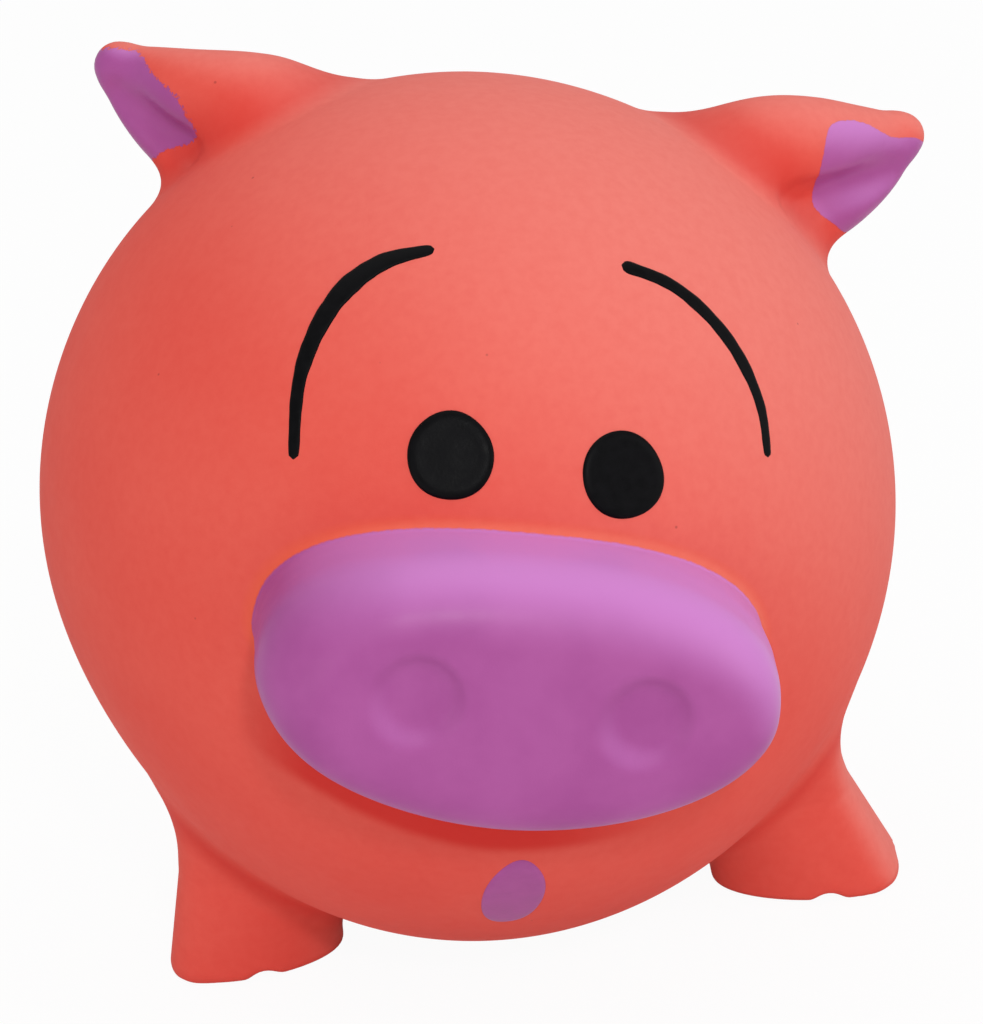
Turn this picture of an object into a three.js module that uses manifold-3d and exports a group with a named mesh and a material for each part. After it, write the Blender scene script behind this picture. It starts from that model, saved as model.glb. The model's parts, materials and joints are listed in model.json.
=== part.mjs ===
// Squeaky latex pig toy: a stuffed latex ball with a snout that presses in, ears that flex,
// four stub legs, a curled tail and a reed squeaker plugged into the belly.
// Millimetres, +Z up, the face looks along -Y. The origin lies on the surface that the toy
// stands on, under the middle of its box.
import * as THREE from "three";
import { mergeVertices } from "three/addons/utils/BufferGeometryUtils.js";
import Module from "manifold-3d";

const wasm = await Module();
wasm.setup();

// Latex ball
const BALL_RADIUS = 45;
const SKIN = 2.2; // latex wall
const CLEARANCE = 0.3; // gap between pieces that seat on each other
const BALL_ABOVE_GROUND = 2.2; // the soles reach this far below the ball
const FACE_ROLL = 11; // degrees that the face and ears sit askew on the ball

// Snout pad
const SNOUT_HALF_WIDTH = 24.5;
const SNOUT_HALF_HEIGHT = 13.1;
const SNOUT_REACH = 11.4; // front of the pad beyond the ball
const SNOUT_EDGE = 5.4; // rounding of the front edge
const SNOUT_CROWN = 1.2; // swell of the front face
const SNOUT_ROOT = 1; // rear edge of the pad, inside the ball's wall
const SNOUT_LATITUDE = 0.4;
const SNOUT_LONGITUDE = -2.4;
const SNOUT_TURN = -2.9; // degrees about the snout's own axis
const NOSTRIL_RADIUS = 4.3;
const NOSTRIL_DEPTH = 1.1;
const NOSTRIL_SPREAD = 10.8; // from the middle of the snout to a nostril

// Painted marks, raised a little as the thick paint is
const EYE_RADIUS = 4.15;
const EYE_RELIEF = 0.6;
const EYES = {
  left: { latitude: 25.9, longitude: -13 },
  right: { latitude: 24.3, longitude: 10.3 },
};
const BROWS = {
  left: [[52, -22.5], [48.4, -31], [42.1, -36], [32.8, -36.8], [22.8, -34.2]], // latitude, longitude
  right: [[51.3, 16.9], [47.5, 26.5], [40, 32.7], [31.5, 34.8], [24.4, 33.9]],
};
const BROW_HALF_WIDTH = { left: 0.85, right: 0.6 }; // at the thick end of the stroke
const BROW_END_HALF_WIDTH = 0.46; // at the outer end
const MOUTH_HALF_WIDTH = 2.5;
const MOUTH_HALF_HEIGHT = 5.4;
const MOUTH_RELIEF = 0.5;
const MOUTH_LATITUDE = -36.8;
const MOUTH_LONGITUDE = 2.5;
const MOUTH_TILT = 13; // degrees that the mouth leans in the face

// Ears: a leaf on a spindle-shaped root that turns in a cup of the skin
const EAR_LATITUDE = { left: 50, right: 48.5 };
const EAR_LONGITUDE = { left: -125, right: 109 };
const EAR_TURN = { left: -11, right: -9 }; // degrees about the ball's normal
const EAR_BASE_HALF_WIDTH = 11;
const EAR_ROOT_RADIUS = 6.5;
const EAR_THICKNESS = 12; // at the base
const EAR_HEIGHT = 16;
const EAR_TIP_OUT = 8.6; // the tip lies this far outside the middle of the base
const EAR_TIP_RADIUS = 2.6;
const EAR_TIP_THICKNESS = 4.4;
const SCOOP_HALF_WIDTH = 5.6;
const SCOOP_HALF_LENGTH = 7.6;
const SCOOP_DEPTH = 3.6;
const SCOOP_OUT = 9.6; // middle of the scoop, outside the middle of the base
const SCOOP_HEIGHT = 8.2; // and above it
const LINING_THICKNESS = 0.7;

// Legs
const FOOT_HALF_WIDTH = 9.7;
const FOOT_HALF_DEPTH = 7.6;
const FOOT_EDGE = 2.2; // rounding of the sole's edge
const ANKLE_HALF_WIDTH = 8.2;
const ANKLE_HALF_DEPTH = 6.6;
const LEG_HEIGHT = 23; // from the sole to the top, which the ball hides
const LEG_SPLAY = 2.8; // the sole lies this far outside the top
const FRONT_FEET = { left: { x: -28.4, y: -0.5 }, right: { x: 31.6, y: -4 } };
const REAR_FEET = { left: { x: -22, y: 21 }, right: { x: 22, y: 21 } };
const CLEFT_HALF_WIDTH = 2; // notch between the two toes
const CLEFT_DEPTH = 1.3;

// Tail
const TAIL_LATITUDE = 14;
const TAIL_CURL_RADIUS = 3.9;
const TAIL_TURNS = 1.4;
const TAIL_RISE = 8; // how far the curl stands off the ball
const TAIL_ROOT_RADIUS = 2;
const TAIL_TIP_RADIUS = 1.1;

// Squeaker
const BELLY_FLAT_RADIUS = 10.5; // flat spot that the squeaker's flange covers
const SEAT_THICKNESS = 2.6; // latex held between the plug's flanges
const PLUG_FLANGE_RADIUS = 9;
const PLUG_FLANGE_THICKNESS = 1.3;
const PLUG_NECK_RADIUS = 5.5;
const INNER_FLANGE_RADIUS = 8;
const INNER_FLANGE_THICKNESS = 1.2;
const BARREL_RADIUS = 6.6;
const BARREL_BORE_RADIUS = 5.2;
const BARREL_HEIGHT = 13; // above the inner flange
const AIR_HOLE_RADIUS = 1.4;
const CAP_THICKNESS = 1.2;
const CAP_SKIRT = 3.5; // how far the cap comes down round the barrel
const CAP_HOLE_RADIUS = 0.8;
const CAP_HOLE_COUNT = 5;
const REED_WIDTH = 4;
const REED_LENGTH = 8.5;
const REED_THICKNESS = 0.25;
const REED_CHANNEL_WIDTH = 2.4;
const REED_CHANNEL_DEPTH = 2;
const CLIP_HEIGHT = 2.4; // of the wedge that clamps the reed's upper end

// Facets
const BALL_FACETS = 44;
const HOLLOW_FACETS = 24;
const ROUND_FACETS = 20;
const OVAL_FACETS = 36;

const deg = THREE.MathUtils.degToRad;

const coralLatex = new THREE.MeshStandardMaterial({ color: 0xe96657, roughness: 0.55 });
const purplePaint = new THREE.MeshStandardMaterial({ color: 0xb060a6, roughness: 0.45 });
const blackPaint = new THREE.MeshStandardMaterial({ color: 0x141416, roughness: 0.45 });
const fibre = new THREE.MeshStandardMaterial({ color: 0xf2efe8, roughness: 1 });
const whitePlastic = new THREE.MeshStandardMaterial({ color: 0xe9e6dc, roughness: 0.4 });
const clearFilm = new THREE.MeshStandardMaterial({ color: 0xd8dde0, roughness: 0.2 });

// Solids: a closed geometry for cutting and joining, and back again
function toSolid(geometry) {
  const bare = geometry.clone();
  bare.deleteAttribute("normal");
  bare.deleteAttribute("uv");
  const merged = mergeVertices(bare, 1e-4);
  return new wasm.Manifold(
    new wasm.Mesh({
      numProp: 3,
      vertProperties: new Float32Array(merged.attributes.position.array),
      triVerts: new Uint32Array(merged.index.array),
    }),
  );
}

function toGeometry(solid) {
  const mesh = solid.getMesh();
  const geometry = new THREE.BufferGeometry();
  geometry.setAttribute("position", new THREE.BufferAttribute(mesh.vertProperties, 3));
  geometry.setIndex(new THREE.BufferAttribute(mesh.triVerts, 1));
  geometry.computeVertexNormals();
  return geometry;
}

function cut(solid, ...tools) {
  return tools.reduce((left, tool) => left.subtract(tool), solid);
}

// A closed skin over rings of equal point counts that run anticlockwise along their axis
function loft(rings) {
  const count = rings[0].length;
  const middle = (ring) => ring.reduce((sum, p) => sum.add(p), new THREE.Vector3()).divideScalar(count);
  const points = [...rings.flat(), middle(rings[0]), middle(rings.at(-1))];
  const first = points.length - 2;
  const last = points.length - 1;
  const top = (rings.length - 1) * count;
  const index = [];
  for (let i = 0; i < count; i++) {
    const next = (i + 1) % count;
    index.push(first, next, i, last, top + i, top + next);
    for (let r = 0; r < top; r += count) {
      index.push(r + i, r + next, r + count + next, r + i, r + count + next, r + count + i);
    }
  }
  return new THREE.BufferGeometry().setFromPoints(points).setIndex(index);
}

// A superellipse ring round (x, y) at height z; power 2 is an ellipse
function oval(halfX, halfY, z, { x = 0, y = 0, power = 2, facets = ROUND_FACETS } = {}) {
  const squared = (v) => Math.sign(v) * Math.abs(v) ** (2 / power);
  return Array.from({ length: facets }, (_, i) => {
    const angle = (2 * Math.PI * i) / facets;
    return new THREE.Vector3(
      x + halfX * squared(Math.cos(angle)),
      y + halfY * squared(Math.sin(angle)),
      z,
    );
  });
}

// A round bar along a curve, with a radius at each share of its length
function bar(curve, radiusAt, steps, sides) {
  const frames = curve.computeFrenetFrames(steps);
  const rings = Array.from({ length: steps + 1 }, (_, s) =>
    Array.from({ length: sides }, (_, i) => {
      const angle = (2 * Math.PI * i) / sides;
      return curve
        .getPointAt(s / steps)
        .addScaledVector(frames.normals[s], radiusAt(s / steps) * Math.cos(angle))
        .addScaledVector(frames.binormals[s], radiusAt(s / steps) * Math.sin(angle));
    }),
  );
  return loft(rings);
}

function ball(radius, facets) {
  const rows = Math.round(facets * 0.64);
  return new THREE.SphereGeometry(radius, facets, rows).rotateX(Math.PI / 2);
}

// A cylinder along Z from one height to another
function post(radius, low, high, facets = ROUND_FACETS) {
  const height = high - low;
  return new THREE.CylinderGeometry(radius, radius, height, facets)
    .rotateX(Math.PI / 2)
    .translate(0, 0, low + height / 2);
}

// A turned piece about Z from [radius, height] pairs
function turned(pairs) {
  const profile = pairs.map(([radius, height]) => new THREE.Vector2(radius, height));
  return new THREE.LatheGeometry(profile, ROUND_FACETS).rotateX(Math.PI / 2);
}

// Latitude is above the ball's equator, longitude runs from the front to the right
function onBall(latitude, longitude, radius) {
  const level = radius * Math.cos(deg(latitude));
  return new THREE.Vector3(
    level * Math.sin(deg(longitude)),
    -level * Math.cos(deg(longitude)),
    radius * Math.sin(deg(latitude)),
  );
}

// A frame on the ball whose Z leaves the ball and whose Y runs up it
function ballFrame(latitude, longitude, radius) {
  const place = onBall(latitude, longitude, radius);
  const out = place.clone().normalize();
  const across = new THREE.Vector3(0, 0, 1).cross(out).normalize();
  const up = out.clone().cross(across);
  return new THREE.Matrix4().makeBasis(across, up, out).setPosition(place);
}

function mesh(name, geometry, material) {
  const made = new THREE.Mesh(geometry, material);
  made.name = name;
  return made;
}

// The toy hangs on the ball's middle; the face group holds what sits askew with the face
const toy = new THREE.Group();
const face = new THREE.Group();
face.rotation.y = deg(FACE_ROLL);
face.updateMatrix();
toy.add(face);

const ballTool = toSolid(ball(BALL_RADIUS + CLEARANCE, BALL_FACETS));
const faceBallTool = toSolid(
  ball(BALL_RADIUS + CLEARANCE, BALL_FACETS).applyMatrix4(face.matrix.clone().invert()),
);

// Snout: an oval cup that slides through an oval opening in the face, packed with fibre
const snoutFrame = ballFrame(SNOUT_LATITUDE, SNOUT_LONGITUDE, BALL_RADIUS);
snoutFrame.multiply(new THREE.Matrix4().makeRotationZ(deg(SNOUT_TURN)));
const snoutFront = SNOUT_REACH;
const snoutEdgeDrop = BALL_RADIUS - Math.sqrt((BALL_RADIUS - SKIN) ** 2 - SNOUT_HALF_WIDTH ** 2);
const snoutRear = -snoutEdgeDrop - SNOUT_ROOT;

function snoutRing(inset, z) {
  const halfX = SNOUT_HALF_WIDTH - inset;
  const halfY = SNOUT_HALF_HEIGHT - inset;
  return oval(halfX, halfY, z, { power: 2.3, facets: OVAL_FACETS });
}

// The pad's outside, or the same shape moved in by a wall on every side but the rear
function snoutForm(wall, rear) {
  const front = snoutFront - SNOUT_CROWN - wall;
  const edge = SNOUT_EDGE - Math.min(wall, SNOUT_EDGE / 2);
  const rings = [snoutRing(wall, rear)];
  const arcSteps = 4;
  for (let i = 0; i <= arcSteps; i++) {
    const angle = (Math.PI / 2) * (i / arcSteps);
    rings.push(snoutRing(wall + edge * (1 - Math.cos(angle)), front - edge * (1 - Math.sin(angle))));
  }
  const swell = [0.55, 0.85];
  const faceHalf = SNOUT_HALF_HEIGHT - wall - edge;
  for (const share of swell) {
    const inset = wall + edge + faceHalf * share;
    rings.push(snoutRing(inset, front + SNOUT_CROWN * (1 - (1 - share) ** 2)));
  }
  return loft(rings);
}

const nostrilBall = (NOSTRIL_RADIUS ** 2 + NOSTRIL_DEPTH ** 2) / (2 * NOSTRIL_DEPTH);
const nostrils = [-1, 1].map((side) =>
  toSolid(
    ball(nostrilBall, HOLLOW_FACETS).translate(
      side * NOSTRIL_SPREAD,
      0,
      snoutFront - SNOUT_CROWN + nostrilBall - NOSTRIL_DEPTH,
    ),
  ),
);
const snoutHollow = toSolid(snoutForm(SKIN, snoutRear - CLEARANCE));
const nostrilWells = nostrils.map((dish) => dish.translate(0, 0, -SKIN));
const snoutCup = cut(toSolid(snoutForm(0, snoutRear)), cut(snoutHollow, ...nostrilWells), ...nostrils);
const packing = cut(
  toSolid(snoutForm(SKIN + CLEARANCE, snoutRear)),
  ...nostrilWells.map((dish) => dish.translate(0, 0, -CLEARANCE)),
);
const snout = new THREE.Group();
snout.applyMatrix4(snoutFrame);
snout.add(mesh("snout", toGeometry(snoutCup), purplePaint));
snout.add(mesh("snout_filling", toGeometry(packing), fibre));
face.add(snout);

const throughFace = BALL_RADIUS + SNOUT_REACH;
const snoutPath = (grow, rear) =>
  toSolid(
    loft([snoutRing(-grow, rear), snoutRing(-grow, throughFace)]).applyMatrix4(
      face.matrix.clone().multiply(snoutFrame),
    ),
  );

// Eyes, brows and mouth: beads of thick paint on the ball
function paintPad(halfX, halfY, relief, latitude, longitude, tilt = 0) {
  const frame = ballFrame(latitude, longitude, BALL_RADIUS + CLEARANCE);
  const pad = new THREE.SphereGeometry(1, ROUND_FACETS, ROUND_FACETS / 2).rotateX(Math.PI / 2);
  pad.scale(halfX, halfY, relief).rotateZ(deg(tilt)).applyMatrix4(frame);
  return toGeometry(cut(toSolid(pad), faceBallTool));
}

const sides = { left: -1, right: 1 };
for (const side of Object.keys(sides)) {
  const { latitude, longitude } = EYES[side];
  const eye = paintPad(EYE_RADIUS, EYE_RADIUS, EYE_RELIEF, latitude, longitude);
  face.add(mesh(`eye_${side}`, eye, blackPaint));

  const strokePoints = BROWS[side].map((spot) => onBall(...spot, BALL_RADIUS + CLEARANCE));
  const widening = BROW_HALF_WIDTH[side] - BROW_END_HALF_WIDTH;
  const strokeRadius = (share) => BROW_END_HALF_WIDTH + widening * Math.sin(Math.PI * (1 - share) ** 1.6);
  const stroke = bar(new THREE.CatmullRomCurve3(strokePoints), strokeRadius, 16, 8);
  face.add(mesh(`brow_${side}`, toGeometry(cut(toSolid(stroke), faceBallTool)), blackPaint));
}
const mouthPad = paintPad(
  MOUTH_HALF_WIDTH,
  MOUTH_HALF_HEIGHT,
  MOUTH_RELIEF,
  MOUTH_LATITUDE,
  MOUTH_LONGITUDE,
  -MOUTH_TILT,
);
face.add(mesh("mouth", mouthPad, purplePaint));

// Ears
// A spindle along the hinge axis, or the cup round it, grown by a given amount
function earSpindle(grow) {
  const radius = EAR_ROOT_RADIUS + grow;
  const spindle = new THREE.SphereGeometry(1, ROUND_FACETS, ROUND_FACETS / 2).rotateZ(Math.PI / 2);
  return spindle.scale(EAR_BASE_HALF_WIDTH + grow, radius, radius);
}

// The leaf narrows from its base to a rounded tip that lies outwards
function earLeaf() {
  const steps = 10;
  const roundFrom = 1 - EAR_TIP_RADIUS / EAR_HEIGHT;
  const rings = Array.from({ length: steps }, (_, i) => {
    const share = Math.sin(((Math.PI / 2) * i) / (steps - 0.5));
    const past = Math.max(0, (share - roundFrom) / (1 - roundFrom));
    const rounding = Math.sqrt(1 - past ** 2);
    const halfWidth = EAR_TIP_RADIUS + (EAR_BASE_HALF_WIDTH - EAR_TIP_RADIUS) * (1 - share);
    const thickness = EAR_TIP_THICKNESS + (EAR_THICKNESS - EAR_TIP_THICKNESS) * (1 - share);
    const inset = CLEARANCE * (1 - share);
    const x = EAR_TIP_OUT * share ** 1.15;
    return oval(rounding * halfWidth - inset, (rounding * thickness) / 2 - inset, EAR_HEIGHT * share, { x });
  });
  return loft(rings);
}

// An egg that cuts the scoop into the front of the leaf; less depth leaves room for the lining
function earScoop(front, depth, shrink) {
  const reach = EAR_THICKNESS / 2;
  const surface = (EAR_THICKNESS + EAR_TIP_THICKNESS) / 4;
  const egg = new THREE.SphereGeometry(1, ROUND_FACETS, ROUND_FACETS / 2);
  egg.scale(SCOOP_HALF_WIDTH - shrink, reach, SCOOP_HALF_LENGTH - shrink);
  return toSolid(egg.translate(SCOOP_OUT, front * (surface + reach - depth), SCOOP_HEIGHT));
}

const earCups = [];
const earSockets = [];
const earClear = [];
for (const [side, sign] of Object.entries(sides)) {
  const place = onBall(EAR_LATITUDE[side], EAR_LONGITUDE[side], BALL_RADIUS);
  const out = place.clone().normalize();
  const outward = new THREE.Vector3(sign, 0, 0);
  outward.addScaledVector(out, -outward.dot(out)).normalize();
  outward.applyAxisAngle(out, deg(EAR_TURN[side]));
  const across = out.clone().cross(outward);
  const root = new THREE.Group();
  root.name = `ear_${side}_root`;
  root.applyMatrix4(new THREE.Matrix4().makeBasis(outward, across, out).setPosition(place));
  root.updateMatrix();
  face.add(root);

  const front = -sign;
  const ear = toSolid(earLeaf()).add(toSolid(earSpindle(0)));
  const liningBed = earScoop(front, SCOOP_DEPTH - CLEARANCE, CLEARANCE);
  const liningTop = earScoop(front, SCOOP_DEPTH - CLEARANCE - LINING_THICKNESS, 0);
  const lining = cut(toSolid(earLeaf()).intersect(liningBed), liningTop);
  const scooped = cut(ear, earScoop(front, SCOOP_DEPTH, 0));
  root.add(mesh(`ear_${side}`, toGeometry(scooped), coralLatex));
  root.add(mesh(`ear_lining_${side}`, toGeometry(lining), purplePaint));

  const inBall = face.matrix.clone().multiply(root.matrix);
  const earTool = (grow) => toSolid(earSpindle(grow).applyMatrix4(inBall));
  earSockets.push(earTool(CLEARANCE));
  earCups.push(earTool(CLEARANCE + SKIN));
  earClear.push(earTool(CLEARANCE + SKIN + CLEARANCE));
}

// Squeaker: heights above the ball's middle, from the belly up
const bellyLevel = -Math.sqrt(BALL_RADIUS ** 2 - BELLY_FLAT_RADIUS ** 2);
const seatTop = bellyLevel + SEAT_THICKNESS;
const flangeTop = bellyLevel - CLEARANCE;
const flangeBottom = flangeTop - PLUG_FLANGE_THICKNESS;
const innerFlangeBottom = seatTop + CLEARANCE;
const innerFlangeTop = innerFlangeBottom + INNER_FLANGE_THICKNESS;
const barrelTop = innerFlangeTop + BARREL_HEIGHT;
const capTop = barrelTop + CLEARANCE + CAP_THICKNESS;
const capRadius = BARREL_RADIUS + CLEARANCE + CAP_THICKNESS;

const plug = turned([
  [AIR_HOLE_RADIUS, flangeBottom],
  [PLUG_FLANGE_RADIUS, flangeBottom],
  [PLUG_FLANGE_RADIUS, flangeTop],
  [PLUG_NECK_RADIUS, flangeTop],
  [PLUG_NECK_RADIUS, innerFlangeBottom],
  [INNER_FLANGE_RADIUS, innerFlangeBottom],
  [INNER_FLANGE_RADIUS, innerFlangeTop],
  [BARREL_RADIUS, innerFlangeTop],
  [BARREL_RADIUS, barrelTop],
  [BARREL_BORE_RADIUS, barrelTop],
  [BARREL_BORE_RADIUS, innerFlangeTop],
  [AIR_HOLE_RADIUS, innerFlangeTop],
  [AIR_HOLE_RADIUS, flangeBottom],
]);
toy.add(mesh("squeaker_plug", plug, whitePlastic));

const capBottom = barrelTop + CLEARANCE - CAP_SKIRT;
const capRing = turned([
  [0, barrelTop + CLEARANCE],
  [BARREL_RADIUS + CLEARANCE, barrelTop + CLEARANCE],
  [BARREL_RADIUS + CLEARANCE, capBottom],
  [capRadius, capBottom],
  [capRadius, capTop],
  [0, capTop],
]);
const capHoles = Array.from({ length: CAP_HOLE_COUNT }, (_, i) => {
  const angle = (2 * Math.PI * i) / CAP_HOLE_COUNT;
  const reach = BARREL_BORE_RADIUS / 2;
  const hole = post(CAP_HOLE_RADIUS, barrelTop, capTop + CLEARANCE, 10);
  return toSolid(hole.translate(reach * Math.cos(angle), reach * Math.sin(angle), 0));
});
toy.add(mesh("squeaker_cap", toGeometry(cut(toSolid(capRing), ...capHoles)), whitePlastic));

// The reed bed is half a round bar with a channel in its flat; the reed lies over the channel
const boreFit = BARREL_BORE_RADIUS - CLEARANCE;
const bedBottom = innerFlangeTop + CLEARANCE;
const bedTop = barrelTop - CLEARANCE;
const bedFlat = 0.4; // the flat lies this far behind the barrel's middle
const halfBar = (low, high, front, back) => {
  const block = new THREE.BoxGeometry(2 * boreFit, back - front, high - low);
  block.translate(0, (front + back) / 2, (low + high) / 2);
  return toSolid(post(boreFit, low, high)).intersect(toSolid(block));
};
const channel = new THREE.BoxGeometry(REED_CHANNEL_WIDTH, 2 * REED_CHANNEL_DEPTH, bedTop - bedBottom);
channel.translate(0, bedFlat, bedBottom + (bedTop - bedBottom) / 2 - CLIP_HEIGHT);
const bed = cut(halfBar(bedBottom, bedTop, bedFlat, boreFit), toSolid(channel));
toy.add(mesh("reed_bed", toGeometry(bed), whitePlastic));

const reedBack = bedFlat - CLEARANCE;
const reedFront = reedBack - REED_THICKNESS;
const clipBottom = bedTop - CLIP_HEIGHT;
const clip = halfBar(clipBottom, bedTop, -boreFit, reedFront - CLEARANCE);
toy.add(mesh("reed_clip", toGeometry(clip), whitePlastic));

const reedGrip = 1; // of the reed's upper end, between the clip and the bed
const reedTop = clipBottom + reedGrip;
const reed = new THREE.BoxGeometry(REED_WIDTH, REED_THICKNESS, REED_LENGTH);
reed.translate(0, (reedBack + reedFront) / 2, reedTop - REED_LENGTH / 2);
toy.add(mesh("reed", reed, clearFilm));

// Latex ball with its ear cups, squeaker seat, face opening and flat belly
const hollow = cut(
  toSolid(ball(BALL_RADIUS - SKIN, HOLLOW_FACETS)),
  ...earCups,
  toSolid(post(BELLY_FLAT_RADIUS, -BALL_RADIUS, seatTop)),
);
const belly = new THREE.BoxGeometry(2 * BALL_RADIUS, 2 * BALL_RADIUS, BALL_RADIUS);
belly.translate(0, 0, bellyLevel - BALL_RADIUS / 2);
const shell = cut(
  toSolid(ball(BALL_RADIUS, BALL_FACETS)),
  hollow,
  ...earSockets,
  snoutPath(CLEARANCE, -BALL_RADIUS),
  toSolid(belly),
  toSolid(post(PLUG_NECK_RADIUS + CLEARANCE, -BALL_RADIUS, seatTop + SKIN)),
);
toy.add(mesh("body_shell", toGeometry(shell), coralLatex));

// Fibre that fills the ball round the squeaker and behind the snout and ears
const squeakerRoom = Math.max(BELLY_FLAT_RADIUS, INNER_FLANGE_RADIUS, capRadius) + CLEARANCE;
const filling = cut(
  toSolid(ball(BALL_RADIUS - SKIN - CLEARANCE, HOLLOW_FACETS)),
  ...earClear,
  toSolid(post(squeakerRoom, -BALL_RADIUS, capTop + CLEARANCE)),
  snoutPath(CLEARANCE, snoutRear - CLEARANCE),
);
toy.add(mesh("stuffing", toGeometry(filling), fibre));

// Legs: stubs that flare to a cleft foot, cut to sit on the ball
const groundLevel = -BALL_RADIUS - BALL_ABOVE_GROUND;
function leg(foot, sign) {
  const lean = -sign * LEG_SPLAY;
  const edgeDrop = FOOT_EDGE * (1 - Math.SQRT1_2);
  const sections = [
    [FOOT_HALF_WIDTH - FOOT_EDGE, FOOT_HALF_DEPTH - FOOT_EDGE, 0, 0],
    [FOOT_HALF_WIDTH - edgeDrop, FOOT_HALF_DEPTH - edgeDrop, edgeDrop, 0],
    [FOOT_HALF_WIDTH, FOOT_HALF_DEPTH, FOOT_EDGE, 0],
    [ANKLE_HALF_WIDTH, ANKLE_HALF_DEPTH, LEG_HEIGHT * 0.55, 0.55],
    [ANKLE_HALF_WIDTH, ANKLE_HALF_DEPTH, LEG_HEIGHT, 1],
  ];
  const rings = sections.map(([halfX, halfY, z, share]) =>
    oval(halfX, halfY, groundLevel + z, {
      x: foot.x + lean * share,
      y: foot.y,
      power: 2.4,
    }),
  );
  const notch = new THREE.CylinderGeometry(CLEFT_HALF_WIDTH, CLEFT_HALF_WIDTH, FOOT_HALF_DEPTH, 12);
  notch.scale(1, 1, CLEFT_DEPTH / CLEFT_HALF_WIDTH);
  notch.translate(foot.x, foot.y - FOOT_HALF_DEPTH, groundLevel);
  return toGeometry(cut(toSolid(loft(rings)), ballTool, toSolid(notch)));
}
for (const [side, sign] of Object.entries(sides)) {
  toy.add(mesh(`leg_front_${side}`, leg(FRONT_FEET[side], sign), coralLatex));
  toy.add(mesh(`leg_rear_${side}`, leg(REAR_FEET[side], sign), coralLatex));
}

// Tail: a tapered curl that leaves the back of the ball
const tailFrame = ballFrame(TAIL_LATITUDE, 180, BALL_RADIUS);
const tailSteps = Math.round(16 * TAIL_TURNS);
const tailPoints = Array.from({ length: tailSteps + 1 }, (_, i) => {
  const share = i / tailSteps;
  const angle = 2 * Math.PI * TAIL_TURNS * share;
  return new THREE.Vector3(
    TAIL_CURL_RADIUS * Math.sin(angle),
    TAIL_CURL_RADIUS * (1 - Math.cos(angle)),
    TAIL_RISE * share,
  );
});
const tailRadius = (share) => TAIL_ROOT_RADIUS + (TAIL_TIP_RADIUS - TAIL_ROOT_RADIUS) * share;
const tailBar = bar(new THREE.CatmullRomCurve3(tailPoints), tailRadius, tailSteps, 8);
const tail = cut(toSolid(tailBar.applyMatrix4(tailFrame)), ballTool);
toy.add(mesh("tail", toGeometry(tail), coralLatex));

// The origin under the middle of the finished box
const pig = new THREE.Group();
pig.add(toy);
pig.updateMatrixWorld(true);
const box = new THREE.Box3().setFromObject(pig, true);
const middle = box.getCenter(new THREE.Vector3());
toy.position.set(-middle.x, -middle.y, -box.min.z);

export default pig;
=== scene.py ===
import json
import math

import bmesh
import bpy
import numpy as np
from mathutils import Matrix, Vector, noise


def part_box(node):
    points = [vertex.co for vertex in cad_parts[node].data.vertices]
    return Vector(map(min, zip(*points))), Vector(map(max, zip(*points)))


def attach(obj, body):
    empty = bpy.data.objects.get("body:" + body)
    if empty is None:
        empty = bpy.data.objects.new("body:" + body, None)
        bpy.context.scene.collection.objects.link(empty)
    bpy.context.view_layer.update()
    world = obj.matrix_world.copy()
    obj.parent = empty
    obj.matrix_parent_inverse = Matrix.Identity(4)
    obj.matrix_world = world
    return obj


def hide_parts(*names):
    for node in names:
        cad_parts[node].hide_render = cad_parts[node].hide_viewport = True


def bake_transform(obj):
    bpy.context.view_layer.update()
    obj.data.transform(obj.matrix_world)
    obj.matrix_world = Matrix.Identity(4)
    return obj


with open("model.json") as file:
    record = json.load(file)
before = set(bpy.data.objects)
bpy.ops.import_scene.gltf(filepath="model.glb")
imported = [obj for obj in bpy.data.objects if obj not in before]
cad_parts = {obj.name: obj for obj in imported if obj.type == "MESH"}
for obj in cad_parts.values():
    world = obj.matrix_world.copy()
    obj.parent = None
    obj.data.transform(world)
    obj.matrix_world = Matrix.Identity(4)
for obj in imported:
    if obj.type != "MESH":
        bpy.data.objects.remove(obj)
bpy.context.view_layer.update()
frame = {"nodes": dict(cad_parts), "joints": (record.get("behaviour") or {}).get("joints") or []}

# The view: a long lens in front of the face, above it and a little to its left, rolled so that
# the toy leans as it does in the picture. The ball's middle sets where everything else goes.
MM = 0.001
BALL_RADIUS = 45.0
shell_low, shell_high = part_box("body_shell")
ball_middle = Vector((
    (shell_low.x + shell_high.x) / 2,
    shell_high.y - BALL_RADIUS * MM,
    shell_high.z - BALL_RADIUS * MM,
))
VIEW_AZIMUTH, VIEW_ELEVATION, VIEW_ROLL = map(math.radians, (6.0, 22.0, 6.5))
VIEW_DISTANCE = 0.420
VIEW_AIM_RIGHT, VIEW_AIM_UP = 2.6 * MM, -0.97 * MM
SENSOR_WIDTH, LENS_LENGTH = 36.0, 145.8

towards_lens = Vector((
    -math.sin(VIEW_AZIMUTH) * math.cos(VIEW_ELEVATION),
    -math.cos(VIEW_AZIMUTH) * math.cos(VIEW_ELEVATION),
    math.sin(VIEW_ELEVATION),
))
level_right = Vector((math.cos(VIEW_AZIMUTH), -math.sin(VIEW_AZIMUTH), 0))
level_up = towards_lens.cross(level_right)
view_right = math.cos(VIEW_ROLL) * level_right - math.sin(VIEW_ROLL) * level_up
view_up = math.sin(VIEW_ROLL) * level_right + math.cos(VIEW_ROLL) * level_up
lens_place = ball_middle + VIEW_DISTANCE * towards_lens
aim = ball_middle + VIEW_AIM_RIGHT * view_right + VIEW_AIM_UP * view_up
lens_back = (lens_place - aim).normalized()
lens_right = view_up.cross(lens_back).normalized()
lens_up = lens_back.cross(lens_right)


def placed(name, data):
    """A new object in the scene."""
    made = bpy.data.objects.new(name, data)
    bpy.context.scene.collection.objects.link(made)
    return made


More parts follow.
